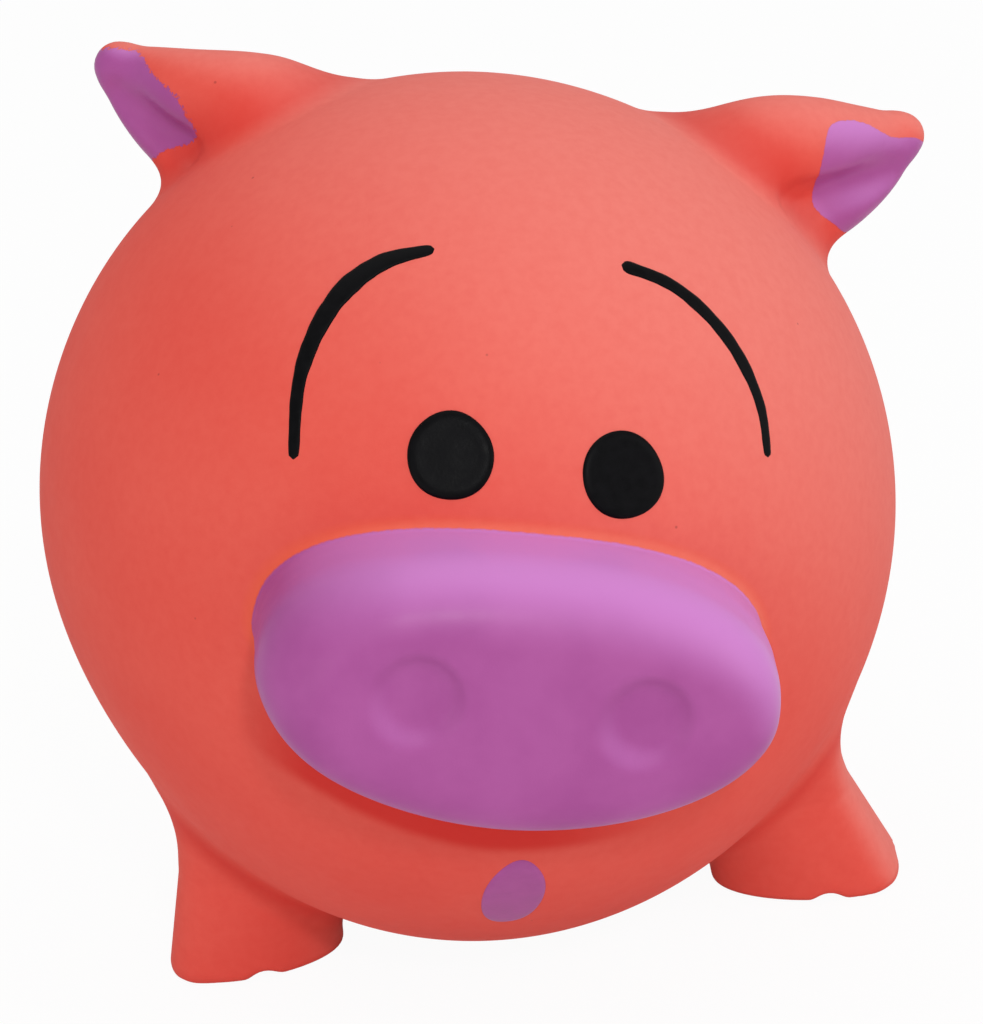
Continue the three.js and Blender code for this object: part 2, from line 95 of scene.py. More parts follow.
camera = placed("camera", bpy.data.cameras.new("camera"))
camera.data.sensor_fit = "HORIZONTAL"
camera.data.sensor_width = SENSOR_WIDTH
camera.data.lens = LENS_LENGTH
camera.data.clip_start, camera.data.clip_end = 0.01, 20
lens_turn = Matrix((lens_right, lens_up, lens_back)).transposed().to_4x4()
camera.matrix_world = Matrix.Translation(lens_place) @ lens_turn
bpy.context.scene.camera = camera

# The ball: the body of the toy, slush-moulded in latex in one piece with the legs, tail, ears
# and snout. Each form gives how far points lie outside it, in millimetres about the ball's
# middle, and fillets join the forms.
LATEX_WALL = 2.2
BELLY_LEVEL = (shell_low.z - ball_middle.z) / MM  # flat spot round the squeaker
BELLY_EDGE = 1.0
# swellings of the stuffed ball: angle in the picture, height in mm, and how narrow they are
BALL_SWELLINGS = ((84, 1.05, 5.0), (146, -1.35, 9.0), (222, 0.45, 9.0), (262, 0.25, 9.0))


def join(a, b, fillet):
    """The union of two forms, with a fillet in the corner between them."""
    share = np.maximum(fillet - np.abs(a - b), 0) / fillet
    return np.minimum(a, b) - share * share * fillet / 4


def trim(a, b, rounding):
    """What two forms share, with a rounded edge."""
    return -join(-a, -b, rounding)


def ball_form(p):
    reach = np.linalg.norm(p, axis=1)
    radius = np.full(len(p), BALL_RADIUS)
    for angle, height, narrowness in BALL_SWELLINGS:
        turn = math.radians(angle)
        way = np.array(math.cos(turn) * view_right - math.sin(turn) * view_up)
        radius += height * np.exp(narrowness * (p @ way / np.maximum(reach, 1e-6) - 1))
    return trim(reach - radius, BELLY_LEVEL - p[:, 2], BELLY_EDGE)


# each form with its middle, how far from there it is felt, its fillet to the ball, and the painted
# shade of the corner between them: its width on the form, how many times narrower it is on the ball,
# and its strength
moulded_forms = []


def latex(p, forms=None):
    """Distance of points from the outside of the moulding, or of some of its forms."""
    distance = ball_form(p)
    for form, middle, span, fillet, _ in moulded_forms if forms is None else forms:
        close = np.linalg.norm(p - middle, axis=1) < span
        if close.any():
            distance[close] = join(distance[close], form(p[close]), fillet)
    return distance


blank = bmesh.new()
bmesh.ops.create_icosphere(blank, subdivisions=5, radius=BALL_RADIUS)
hollow_blank = bmesh.new()  # what is hollow: the ball, the legs and the snout
bmesh.ops.create_icosphere(hollow_blank, subdivisions=5, radius=BALL_RADIUS - LATEX_WALL)
hollow_forms = []

# The legs: four stubs of the same moulding that lean outwards and flare to a flat oval foot,
# with a notch at the front of each foot for the two toes.
GROUND = -ball_middle.z / MM
FOOT_HALF_DEPTH = 7.6
FOOT_SHIFT = 2.8  # the sole is longest this far outside its middle
ANKLE_HALF = np.array((8.2, 5.9))
FOOT_EDGE = 1.4  # height where the foot starts to narrow
SOLE_ROUNDING = 1.17 * FOOT_EDGE
ANKLE_HEIGHT = 12.6
LEG_HEIGHT = 23.0
LEG_TOP_ROUNDING = 1.0
LEG_SPAN = 25.0
LEG_RAKE = -5.0  # how far the tops stand behind the front feet, or in front of the rear ones
LEG_POWERS = (3.4, 1.8)  # of its oval, on its outer and inner side
CLEFT_RADIUS, CLEFT_TAPER = 1.6, 0.8
CLEFT_LENGTH, CLEFT_OVERRUN = 4.0, 2.0  # behind and in front of the toes' ends
CLEFT_DEPTHS = (0.4, 0.9)  # of its axis under the sole, in front and behind
CLEFT_ROUNDING = 1.0
# painted shade in the corners round the legs, the tail and the snout
CORNER_SHADE = (2.7, 1, 1)
# each leg: its side, its end, how far it splays, how far its foot stands out and forward, half the
# foot's width, its turn, how far its cleft lies outside its middle, and its fillet
FEET = (
    ("leg_front_left", -1, -1, 1.8, -0.1, 2.0, 9.35, -11.0, -1.2, 4.0),
    ("leg_front_right", 1, -1, 6.0, 0.2, 1.4, 10.2, -8.0, 2.1, 5.0),
    ("leg_rear_left", -1, 1, 2.8, 0.0, 1.2, 9.45, -8.0, 0.4, 4.0),
    ("leg_rear_right", 1, 1, 2.8, 0.0, 1.2, 9.45, 8.0, 0.4, 4.0),
)


def carve(a, b, rounding):
    """The first form less the second, with a rounded edge."""
    return -join(-a, b, rounding)


def between(ends, share):
    """A size that goes from one end's to the other's."""
    return ends[0] + (ends[1] - ends[0]) * share


def oval_reach(x, y, half_x, half_y, power):
    """How far points lie outside an oval; power 2 is an ellipse."""
    u, v = np.abs(x) / half_x, np.abs(y) / half_y
    size = (u**power + v**power) ** (1 / power) + 1e-9
    slope = np.hypot((u / size) ** (power - 1) / half_x, (v / size) ** (power - 1) / half_y)
    return (size - 1) / slope


def limb(p, start, end, start_radius, end_radius):
    """A round bar between two points that tapers from one radius to the other."""
    start, end = np.asarray(start, float), np.asarray(end, float)
    run = end - start
    share = np.clip((p - start) @ run / (run @ run), 0, 1)
    nearest = start + share[:, None] * run
    return np.linalg.norm(p - nearest, axis=1) - between((start_radius, end_radius), share)


def leg_form(foot, side, end, splay, half_width, turn, cleft):
    turn = math.radians(turn)
    ways = np.array(((math.cos(turn), math.sin(turn)), (-math.sin(turn), math.cos(turn))))
    cleft_front = (cleft, -FOOT_HALF_DEPTH - CLEFT_OVERRUN, GROUND - CLEFT_DEPTHS[0])
    cleft_back = (cleft, -FOOT_HALF_DEPTH + CLEFT_LENGTH, GROUND - CLEFT_DEPTHS[1])

    def form(p):
        height = p[:, 2] - GROUND
        rise = np.clip((height - FOOT_EDGE) / (ANKLE_HEIGHT - FOOT_EDGE), 0, 1)
        half_x = between((half_width, ANKLE_HALF[0]), rise)
        half_y = between((FOOT_HALF_DEPTH, ANKLE_HALF[1]), rise)
        lean = np.clip((height - FOOT_EDGE) / (LEG_HEIGHT - FOOT_EDGE), 0, 1)
        across = (p[:, :2] - foot + np.outer(lean, (side * splay, end * LEG_RAKE))) @ ways.T
        across[:, 0] *= side
        shift = FOOT_SHIFT * (1 - rise)
        out = across[:, 0] - shift
        half_x = half_x - np.sign(out) * shift
        power = np.where(out > 0, *LEG_POWERS)
        round_leg = oval_reach(out, across[:, 1], half_x, half_y, power)
        stub = trim(round_leg, -height, SOLE_ROUNDING)
        stub = trim(stub, height - LEG_HEIGHT, LEG_TOP_ROUNDING)
        in_foot = np.column_stack((across, p[:, 2]))
        notch = limb(in_foot, cleft_front, cleft_back, CLEFT_RADIUS, CLEFT_RADIUS * CLEFT_TAPER)
        return carve(stub, notch, CLEFT_ROUNDING)

    return form


for leg, side, end, splay, stand_out, forward, half_width, turn, cleft, fillet in FEET:
    low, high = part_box(leg)
    foot = np.array((low + high) / 2 - ball_middle)[:2] / MM + (side * stand_out, -forward)
    leg_middle = np.array((*foot, GROUND + LEG_HEIGHT / 2))
    form = leg_form(foot, side, end, splay, half_width, turn, cleft)
    moulded_forms.append((form, leg_middle, LEG_SPAN, fillet, CORNER_SHADE))
    hollow_forms.append(moulded_forms[-1])
    splayed = Matrix.Shear("XY", 4, (-side * splay / LEG_HEIGHT, -end * LEG_RAKE / LEG_HEIGHT))
    for mesh, wall in ((blank, 0), (hollow_blank, LATEX_WALL)):
        bmesh.ops.create_cone(
            mesh,
            cap_ends=True,
            segments=40,
            radius1=half_width - wall,
            radius2=ANKLE_HALF[0] - wall,
            depth=LEG_HEIGHT - 2 * wall,
            matrix=Matrix.Translation((*foot, GROUND))
            @ splayed
            @ Matrix.Rotation(math.radians(turn), 4, "Z")
            @ Matrix.Translation((0, 0, LEG_HEIGHT / 2))
            @ Matrix.Diagonal((1, (FOOT_HALF_DEPTH - wall) / (half_width - wall), 1, 1)),
        )

# The tail: a tapered curl on the back of the ball, of the same moulding. It is too thin to stay
# hollow, so the latex fills it.
TAIL_LATITUDE = math.radians(14)
TAIL_CURL_RADIUS = 3.9
TAIL_TURNS = 1.4
TAIL_RISE = 8.0
TAIL_RADII = (2.0, 1.1)
TAIL_STEPS = 28
TAIL_BALLS = 70
TAIL_FILLET = 1.6
TAIL_SPAN = 14.0

tail_out = np.array((0, math.cos(TAIL_LATITUDE), math.sin(TAIL_LATITUDE)))
tail_across = np.array((-1.0, 0, 0))
tail_up = np.cross(tail_out, tail_across)
tail_share = np.linspace(0, 1, TAIL_STEPS + 1)
tail_turn = 2 * math.pi * TAIL_TURNS * tail_share
tail_line = (
    np.outer(TAIL_CURL_RADIUS * np.sin(tail_turn), tail_across)
    + np.outer(TAIL_CURL_RADIUS * (1 - np.cos(tail_turn)), tail_up)
    + np.outer(BALL_RADIUS + TAIL_RISE * tail_share, tail_out)
)
tail_radius = between(TAIL_RADII, tail_share)


def tail_form(p):
    pieces = zip(tail_line, tail_line[1:], tail_radius, tail_radius[1:])
    return np.min([limb(p, *piece) for piece in pieces], axis=0)


def add_ball(place, radius):
    spot = Matrix.Translation(Vector(place))
    bmesh.ops.create_icosphere(blank, subdivisions=2, radius=radius, matrix=spot)


moulded_forms.append((tail_form, tail_line.mean(axis=0), TAIL_SPAN, TAIL_FILLET, CORNER_SHADE))
for share in np.linspace(0, 1, TAIL_BALLS):
    spot = [np.interp(share, tail_share, tail_line[:, axis]) for axis in range(3)]
    add_ball(spot, np.interp(share, tail_share, tail_radius))

# The ears: folded leaves of latex that stand out sideways from the top of the ball, with a
# thick rolled upper edge and a crease that runs up the front from the root to the tip.
EAR_FILLET = 4.2
# painted shade in the corner round each ear
EAR_CORNER_SHADE = (6.5, 2, 0.75)
EAR_SPAN = 27.0
EAR_MIDDLE = 6.0  # its height off the ball
EDGE_STEPS, EDGE_BALL_STEP = 161, 8
# the rolled upper edge and the lower edge of each leaf, and the thickness behind them:
# [outwards, to the front, off the ball, radius] from the root to the tip
EAR_EDGES = {
    "left": (
        (
            (-8.6, 2.4, -2.3, 2.9), (-4.0, 5.0, -0.1, 5.5), (-1.4, 6.0, 2.3, 5.4),
            (2.6, 5.0, 6.5, 4.2), (5.9, 2.6, 10.9, 2.6), (8.2, 1.2, 13.1, 2.0),
        ),
        ((6.0, 1.6, -0.4, 3.1), (7.2, 1.2, 5.0, 3.4), (8.0, 1.0, 9.5, 2.9), (8.2, 1.2, 13.1, 2.0)),
        ((1.5, -1.0, 0.2, 5.1), (4.4, -0.4, 5.8, 4.2), (7.8, 0.6, 12.2, 1.8)),
    ),
    "right": (
        (
            (-7.2, 2.6, -2.2, 3.2), (-2.4, 5.2, 0.2, 5.8), (0.0, 6.2, 3.5, 5.6), (2.7, 5.6, 6.7, 4.9),
            (5.7, 3.8, 10.0, 3.8), (8.3, 2.0, 13.2, 2.5), (9.6, 1.3, 14.4, 2.0),
        ),
        ((7.5, 1.8, 0.2, 3.6), (8.6, 1.4, 5.5, 3.8), (9.5, 1.1, 10.0, 3.1), (9.6, 1.3, 14.4, 2.0)),
        ((2.5, -1.0, 0.4, 5.4), (5.4, -0.4, 6.8, 4.4), (9.1, 0.6, 13.4, 1.8)),
    ),
}
EAR_FOLD = 2.0
# a round bar pressed into each leaf along its fold: start, end, and the radius at both
CREASES = {
    "left": ((6.6, 6.6, 0.0), (10.0, 3.6, 10.4), 1.8, 0.6),
    "right": ((4.8, 9.4, -0.8), (12.2, 4.3, 10.6), 1.8, 0.8),
}
CREASE_EDGE = 2.4

ears = {}
for side, sign in (("left", -1), ("right", 1)):
    flex = next(j for j in frame["joints"] if j["name"] == f"ear_{side}_flex")
    root = (np.array(flex["pos_m"]) - np.array(ball_middle)) / MM
    out = root / np.linalg.norm(root)
    outwards = np.array(flex["axis"])
    outwards = outwards - out * (outwards @ out)
    outwards /= np.linalg.norm(outwards)
    front = sign * np.cross(outwards, out)
    ears[side] = root, np.array((outwards, front, out))


def smooth_line(knots, steps):
    """Points along a smooth line through the knots."""
    knots = np.array(knots, float)
    ends = np.concatenate([[2 * knots[0] - knots[1]], knots, [2 * knots[-1] - knots[-2]]])
    line = []
    for share in np.linspace(0, len(knots) - 1, steps):
        step = min(int(share), len(knots) - 2)
        t = share - step
        a, b, c, d = ends[step : step + 4]
        line.append(b + 0.5 * t * (c - a + t * (2 * a - 5 * b + 4 * c - d + t * (3 * (b - c) + d - a))))
    return np.array(line)


def chain(p, line):
    """Balls strung closely along a line of [place, radius]."""
    middles = line[:, :3]
    apart = (p**2).sum(axis=1)[:, None] + (middles**2).sum(axis=1) - 2 * p @ middles.T
    return (np.sqrt(np.maximum(apart, 0)) - line[:, 3]).min(axis=1)


def ear_form(root, axes, edges, crease):
    def form(p):
        q = (p - root) @ axes.T
        leaf = chain(q, edges[0])
        for edge in edges[1:]:
            leaf = join(leaf, chain(q, edge), EAR_FOLD)
        return carve(leaf, limb(q, *crease), CREASE_EDGE)

    return form


for side, (root, axes) in ears.items():
    edges = [smooth_line(knots, EDGE_STEPS) for knots in EAR_EDGES[side]]
    form = ear_form(root, axes, edges, CREASES[side])
    moulded_forms.append((form, root + EAR_MIDDLE * axes[2], EAR_SPAN, EAR_FILLET, EAR_CORNER_SHADE))
    for edge in edges:
        for *spot, radius in edge[::EDGE_BALL_STEP]:
            add_ball(root + np.array(spot) @ axes, radius)

# The snout: an oval pad of the same moulding that stands off the face, with a well rounded edge,
# a slightly swollen front and two shallow dished nostrils. It gives way when it is pressed.
FACE_ROLL = math.radians(11)
SNOUT_TURN = math.radians(-2.9)
SNOUT_HALF = (25.1, 13.1)
SNOUT_POWERS = (1.92, 2.25)  # of its oval, below and above
SNOUT_POWER_LEVELS = (-4, 4)  # between which they change
SNOUT_REACH = 11.4
SNOUT_CROWN = 1.4
SNOUT_CROWN_SPREAD = 1.4  # where the crown ends, as a squared share of the oval
SNOUT_EDGES = (4.6, 7.0)  # rounding of the front's edge, below and above
SNOUT_EDGE_LEVELS = (-9, 7)  # between which it changes
SNOUT_END_EDGES = (4.0, -1.2)  # and how much more at its left and right end
SNOUT_END_RUN, SNOUT_END_LEVELS = (12, 24), (-11, 2)  # where that comes in, across and up
SNOUT_SAG = (-0.9, -0.2)  # the front hangs this far over, across and up
SNOUT_DROP = (10.6, 13.5)  # half height below the middle, at the ball and at the front
SNOUT_WAIST = 0.013  # how much narrower the left end is at the ball
SNOUT_NECK = (36, 51)  # distances from the ball's middle between which both change
SNOUT_FILLET = 0.9
SNOUT_SPAN = 36.0
SNOUT_BLANK_DEPTH = 30.0
NOSTRILS = ((-10.0, 0.3), (11.6, 0.0))
NOSTRIL_FLOOR, NOSTRIL_RIM = 2.7, 5.2
NOSTRIL_SHIFT = (0.55, 0.7)  # of its floor, to the steeper side
NOSTRIL_DEPTH = 0.95

press = next(j for j in frame["joints"] if j["name"] == "snout_press")
snout_out = -np.array(press["axis"])
face_up = np.array((math.sin(FACE_ROLL), 0, math.cos(FACE_ROLL)))
untwisted = np.cross(face_up, snout_out)
untwisted /= np.linalg.norm(untwisted)
snout_across = math.cos(SNOUT_TURN) * untwisted + math.sin(SNOUT_TURN) * np.cross(snout_out, untwisted)
snout_axes = np.array((snout_across, np.cross(snout_out, snout_across), snout_out))


def smooth_step(low, high, value):
    share = np.clip((value - low) / (high - low), 0, 1)
    return share * share * (3 - 2 * share)


def on_snout(p):
    """Places across, up and out of the snout, with its sag taken out."""
    x, y, z = ((p @ snout_axes.T)[:, axis] for axis in range(3))
    hang = np.clip((z - BALL_RADIUS) / SNOUT_REACH, 0, 1)
    x, y = x - SNOUT_SAG[0] * hang, y - SNOUT_SAG[1] * hang
    off_ball = smooth_step(*SNOUT_NECK, z)
    drop = between(SNOUT_DROP, off_ball)
    x = np.where(x < 0, x * (1 + SNOUT_WAIST * (1 - off_ball)), x)
    return x, np.where(y < 0, y * SNOUT_HALF[1] / drop, y), z


def snout_side(x, y):
    power = between(SNOUT_POWERS, smooth_step(*SNOUT_POWER_LEVELS, y))
    return oval_reach(x, y, *SNOUT_HALF, power)


def snout_form(p):
    x, y, z = on_snout(p)
    side = snout_side(x, y)
    spread = np.clip((x / SNOUT_HALF[0]) ** 2 + (y / SNOUT_HALF[1]) ** 2, 0, SNOUT_CROWN_SPREAD)
    front = BALL_RADIUS + SNOUT_REACH - SNOUT_CROWN * spread
    for nostril_x, nostril_y in NOSTRILS:
        floor_x, floor_y = nostril_x + NOSTRIL_SHIFT[0], nostril_y + NOSTRIL_SHIFT[1]
        off_floor = np.maximum(np.hypot(x - floor_x, y - floor_y) - NOSTRIL_FLOOR, 0)
        to_rim = np.maximum(NOSTRIL_RIM - np.hypot(x - nostril_x, y - nostril_y), 0)
        front -= NOSTRIL_DEPTH * smooth_step(0, 1, to_rim / (to_rim + off_floor + 1e-6))
    edge = between(SNOUT_EDGES, smooth_step(*SNOUT_EDGE_LEVELS, y))
    at_end = smooth_step(*SNOUT_END_RUN, np.abs(x)) * smooth_step(*SNOUT_END_LEVELS, y)
    edge += np.where(x < 0, *SNOUT_END_EDGES) * at_end
    return trim(side, z - front, edge)


moulded_forms.append((snout_form, snout_out * BALL_RADIUS, SNOUT_SPAN, SNOUT_FILLET, CORNER_SHADE))
hollow_forms.append(moulded_forms[-1])
snout_place = Matrix(snout_axes.T).to_4x4()
for mesh, wall in ((blank, 0), (hollow_blank, LATEX_WALL)):
    bmesh.ops.create_cone(
        mesh,
        cap_ends=True,
        segments=64,
        radius1=1,
        radius2=1,
        depth=SNOUT_BLANK_DEPTH,
        matrix=snout_place
        @ Matrix.Translation((0, 0, BALL_RADIUS + SNOUT_REACH - wall - SNOUT_BLANK_DEPTH / 2))
        @ Matrix.Diagonal((SNOUT_HALF[0] - wall, SNOUT_HALF[1] - wall, 1, 1)),
    )

# The moulding: the forms above cast as one skin, then parted along circles on the ball round
# the ears and the snout, so that these can flex while their rims stay on the ball.
SKIN_GRAIN = 0.8
LINING_GRAIN = 1.6
PLUG_HOLE = 5.8
FINE_FEET = 9.0  # height of the feet's finer faces
EAR_CIRCLE = 17.5
SNOUT_CIRCLE = 28.0
RIM_TOLERANCE = 0.02
SLOPE_STEP = 0.02
LEAST_SLOPE_SQUARED = 0.1
SETTLE_STEPS, LONGEST_MOVE = 4, 1.2
CAST_ROUNDS, CAST_SMOOTHING = 4, 0.5


def slope_at(points, forms=None):
    """The way out of the moulding, as the slope of its distance."""
    corners = np.array(((1, -1, -1), (-1, -1, 1), (-1, 1, -1), (1, 1, 1)), float)
    rises = [np.outer(latex(points + SLOPE_STEP * corner, forms), corner) for corner in corners]
    return sum(rises) / (len(corners) * SLOPE_STEP)


def settle(points, level=0.0, forms=None):
    """Moves points onto the moulding's surface, or to a level inside it."""
    for _ in range(SETTLE_STEPS):
        off = latex(points, forms) - level
        slope = slope_at(points, forms)
        move = slope * (off / np.maximum((slope**2).sum(axis=1), LEAST_SLOPE_SQUARED))[:, None]
        length = np.linalg.norm(move, axis=1, keepdims=True)
        points = points - move * np.minimum(1, LONGEST_MOVE / np.maximum(length, 1e-9))
    return points


def remeshed(source, grain):
    """A bmesh's outside, as an even skin of small faces."""
    mesh = bpy.data.meshes.new("blank")
    source.to_mesh(mesh)
    holder = placed("blank", mesh)
    remesh = holder.modifiers.new("skin", "REMESH")
    remesh.mode = "VOXEL"
    remesh.voxel_size = grain
    skin = bmesh.new()
    skin.from_object(holder, bpy.context.evaluated_depsgraph_get())
    bpy.data.objects.remove(holder)
    bpy.data.meshes.remove(mesh)
    return skin


def places(mesh):
    return np.array([v.co for v in mesh.verts])


def set_places(mesh, points):
    for vert, point in zip(mesh.verts, points):
        vert.co = point


def cast(source, grain, level, forms):
    """An even skin at a level inside the moulding."""
    skin = remeshed(source, grain)
    for _ in range(CAST_ROUNDS):
        set_places(skin, settle(places(skin), level, forms))
        bmesh.ops.smooth_vert(
            skin, verts=skin.verts, factor=CAST_SMOOTHING, use_axis_x=True, use_axis_y=True, use_axis_z=True
        )
    set_places(skin, settle(places(skin), level, forms))
    return skin


skin = cast(blank, SKIN_GRAIN, 0.0, None)
lining = cast(hollow_blank, LINING_GRAIN, -LATEX_WALL, hollow_forms)
blank.free()
hollow_blank.free()


def parting(way, circle):
    """The way out and the height of the plane that cuts the ball along a circle."""
    return Vector(way), math.sqrt(BALL_RADIUS**2 - circle**2)


partings = {f"{side}_ear": parting(axes[2], EAR_CIRCLE) for side, (_, axes) in ears.items()}
partings["snout"] = parting(snout_out, SNOUT_CIRCLE)


def beyond(point, name):
    normal, height = partings[name]
    return point.dot(normal) > height


def in_piece(point, piece):
    return not any(beyond(point, n) for n in partings) if piece == "body" else beyond(point, piece)


def in_plug_hole(point):
    return point.z < 0 and math.hypot(point.x, point.y) < PLUG_HOLE


def parted(mesh, piece):
    """A copy of a skin with only the faces of one piece, cut round the squeaker's plug."""
    part = mesh.copy()
    middles = [(f, f.calc_center_median()) for f in part.faces]
    lost = [f for f, middle in middles if not in_piece(middle, piece) or in_plug_hole(middle)]
    bmesh.ops.delete(part, geom=lost, context="FACES")
    for vert in part.verts:
        if vert.is_boundary and vert.co.z < 0:
            off_axis = math.hypot(vert.co.x, vert.co.y)
            if off_axis < PLUG_HOLE + 2 * LINING_GRAIN:
                vert.co.xy *= PLUG_HOLE / off_axis
    return part


for mesh in (skin, lining):
    for normal, height in partings.values():
        geometry = mesh.verts[:] + mesh.edges[:] + mesh.faces[:]
        bmesh.ops.bisect_plane(mesh, geom=geometry, dist=1e-4, plane_co=normal * height, plane_no=normal)

mouldings = {}
for name in (*partings, "body"):
    mesh = parted(skin, name)
    fine = [f for f in mesh.faces if name != "body" or f.calc_center_median().z < GROUND + FINE_FEET]
    fine_edges = list({e for f in fine for e in f.edges})
    bmesh.ops.subdivide_edges(mesh, edges=fine_edges, cuts=1, use_grid_fill=True)
    held = [(v, v.co.copy()) for v in mesh.verts if v.is_boundary]
    set_places(mesh, settle(places(mesh)))
    for vert, place in held:
        vert.co = place
    inside = parted(lining, name)
    bmesh.ops.reverse_faces(inside, faces=inside.faces)
    carried = bpy.data.meshes.new("lining")
    inside.to_mesh(carried)
    inside.free()
    mesh.from_mesh(carried)
    bpy.data.meshes.remove(carried)
    rim = [e for e in mesh.edges if e.is_boundary]
    for edge in rim:
        edge.smooth = False
    for normal, height in partings.values():
        level = [e for e in rim if all(abs(v.co.dot(normal) - height) < RIM_TOLERANCE for v in e.verts)]
        if level:
            bmesh.ops.triangle_fill(mesh, edges=level, use_beauty=True, normal=normal)
    rim = [e for e in mesh.edges if e.is_boundary]
    if rim:
        bmesh.ops.bridge_loops(mesh, edges=rim)
    bmesh.ops.recalc_face_normals(mesh, faces=mesh.faces)
    mouldings[name] = mesh
skin.free()
lining.free()

# The finish: coral latex, dyed through, with purple paint dabbed on the snout and inside the ears by
# hand. The paint's edge is kept on the mesh as a distance, so that it stays crisp. The finish also
# carries painted light: painted shade in the corners round the forms, a painted shadow under the
# snout, a painted sheen on faces that look up and to the right, and a painted rim of bounced light
# round the snout's paint.
PAINT_LIP = 0.12  # the snout's paint stops this far out on the fillet
EAR_PAINT = {
    "left": (
        (10.9, 15.3), (9.0, 15.1), (6.2, 13.2), (5.8, 11.4), (5.7, 9.2), (4.9, 6.9), (4.9, 4.2),
        (5.2, 2.2), (8.0, 2.9), (10.5, 3.1), (14.0, 3.2), (14.0, 14.0),
    ),
    "right": (
        (3.7, 7.6), (3.3, 8.9), (4.1, 10.3), (5.8, 11.6), (8.9, 12.7), (11.0, 14.6), (12.4, 14.8),
        (14.0, 12.0), (14.0, 6.4), (11.7, 3.0), (10.5, 2.5), (8.3, 2.2), (6.9, 2.7), (5.4, 4.9),
    ),
}  # corners of the paint on an ear's front: outwards, off the ball
EAR_PAINT_RAGGED = {"left": 0.55, "right": 0.12}
EAR_PAINT_SPREAD = 0.3  # the paint runs this far past those corners
EAR_PAINT_BACK = 0.3  # and no further back than this, to the front of the root
EAR_PAINT_SPAN = 24.0
EAR_PAINT_STEPS = 60
SNOUT_PAINT_RAGGED = 0.05
SNOUT_PAINT_BACK = 30.0  # the snout's paint lies further than this from the ball's middle
NO_PAINT = 20.0  # the distance kept where no paint is near
FACE_BACK = 20.0  # the face lies further than this from the ball's middle
FACE_SHADE_LEVELS = (-9.0, -3.0)  # the painted shade in the snout's corner is kept below these
# the painted shadow that the snout casts on the face below it
SHADE_REACH, SHADE_LEAN = 12.2, 0.11  # off the snout's side, and how much less to the left
SHADE_BLUR = 1.2
SHADE_LEFT, SHADE_RIGHT = (-27, -17), (4, 24)  # where the shade comes in and fades, across
SHADE_LEVELS = (-12, -5)  # and where it fades, up
# the painted sheen: the way faces look to catch most of it, and the range over which it comes in
SHEEN_WAY = np.array((0.68, 0.0, 0.733))
SHEEN_RANGE = (0.05, 1.0)


def outline_reach(x, y, corners):
    """How far points lie outside an outline of straight sides."""
    corners = np.array(corners)
    nearest = np.full(len(x), np.inf)
    inside = np.zeros(len(x), bool)
    for (ax, ay), (bx, by) in zip(corners, np.roll(corners, -1, axis=0)):
        run_x, run_y = bx - ax, by - ay
        share = np.clip(((x - ax) * run_x + (y - ay) * run_y) / (run_x**2 + run_y**2), 0, 1)
        nearest = np.minimum(nearest, np.hypot(x - ax - share * run_x, y - ay - share * run_y))
        if run_y:
            crosses = ((ay > y) != (by > y)) & (x < ax + (y - ay) / run_y * run_x)
            inside ^= crosses
    return np.where(inside, -nearest, nearest)


def paint_edge(p):
    """Distance of points on the skin from the edge of the paint, and how ragged it is there."""
    edge = np.full(len(p), NO_PAINT)
    ragged = np.full(len(p), SNOUT_PAINT_RAGGED)
    x, y, z = on_snout(p)
    on_face = z > SNOUT_PAINT_BACK
    edge[on_face] = snout_side(x, y)[on_face] - PAINT_LIP
    for side, (root, axes) in ears.items():
        q = (p - root) @ axes.T
        close = np.linalg.norm(q, axis=1) < EAR_PAINT_SPAN
        outline = smooth_line((*EAR_PAINT[side], EAR_PAINT[side][0]), EAR_PAINT_STEPS)
        outside = outline_reach(q[close, 0], q[close, 2], outline) - EAR_PAINT_SPREAD
        behind = EAR_PAINT_BACK - q[close, 1]
        edge[close] = np.minimum(edge[close], np.maximum(outside, behind))
        ragged[close] = EAR_PAINT_RAGGED[side]
    return edge, ragged


def valley(p):
    """Painted shade, 1 in the corners round the ball's forms and in the shadow below the snout, else 0."""
    depth = np.zeros(len(p))
    from_ball = np.abs(ball_form(p))
    for form, middle, span, _, (width, narrower, strength) in moulded_forms:
        close = np.linalg.norm(p - middle, axis=1) < span
        if close.any():
            off = np.maximum(np.abs(form(p[close])) * narrower, from_ball[close])
            depth[close] = np.maximum(depth[close], strength * np.clip(1 - off / width, 0, 1))
    # the painted shadow that the snout casts below itself
    on_face = p @ snout_out > FACE_BACK
    across, up, _ = on_snout(p[on_face])
    depth[on_face] *= 1 - smooth_step(*FACE_SHADE_LEVELS, up)
    limit = SHADE_REACH + SHADE_LEAN * np.minimum(across, 0)
    shade = 1 - smooth_step(-SHADE_BLUR, SHADE_BLUR, snout_side(across, up) - limit)
    shade *= smooth_step(*SHADE_LEFT, across) * (1 - smooth_step(*SHADE_RIGHT, across))
    shade *= 1 - smooth_step(*SHADE_LEVELS, up)
    depth[on_face] = np.maximum(depth[on_face], shade)
    return depth


def bloom(normals):
    """Painted sheen, 1 on faces that look up and to the light, 0 below."""
    return smooth_step(*SHEEN_RANGE, normals @ SHEEN_WAY)


def linear(red, green, blue):
    """A colour as it is seen on a screen, 0 to 255, in the shader's linear light."""
    shares = [c / 255 for c in (red, green, blue)]
    return (*[c / 12.92 if c <= 0.04045 else ((c + 0.055) / 1.055) ** 2.4 for c in shares], 1)


def new_finish(name):
    material = bpy.data.materials.new(name)
    material.use_nodes = True
    return material, material.node_tree, material.node_tree.nodes["Principled BSDF"]


def add_node(tree, kind, inputs=None, **settings):
    made = tree.nodes.new("ShaderNode" + kind)
    for key, value in settings.items():
        setattr(made, key, value)
    for socket, value in (inputs or {}).items():
        if isinstance(value, bpy.types.NodeSocket):
            tree.links.new(value, made.inputs[socket])
        else:
            made.inputs[socket].default_value = value
    return made


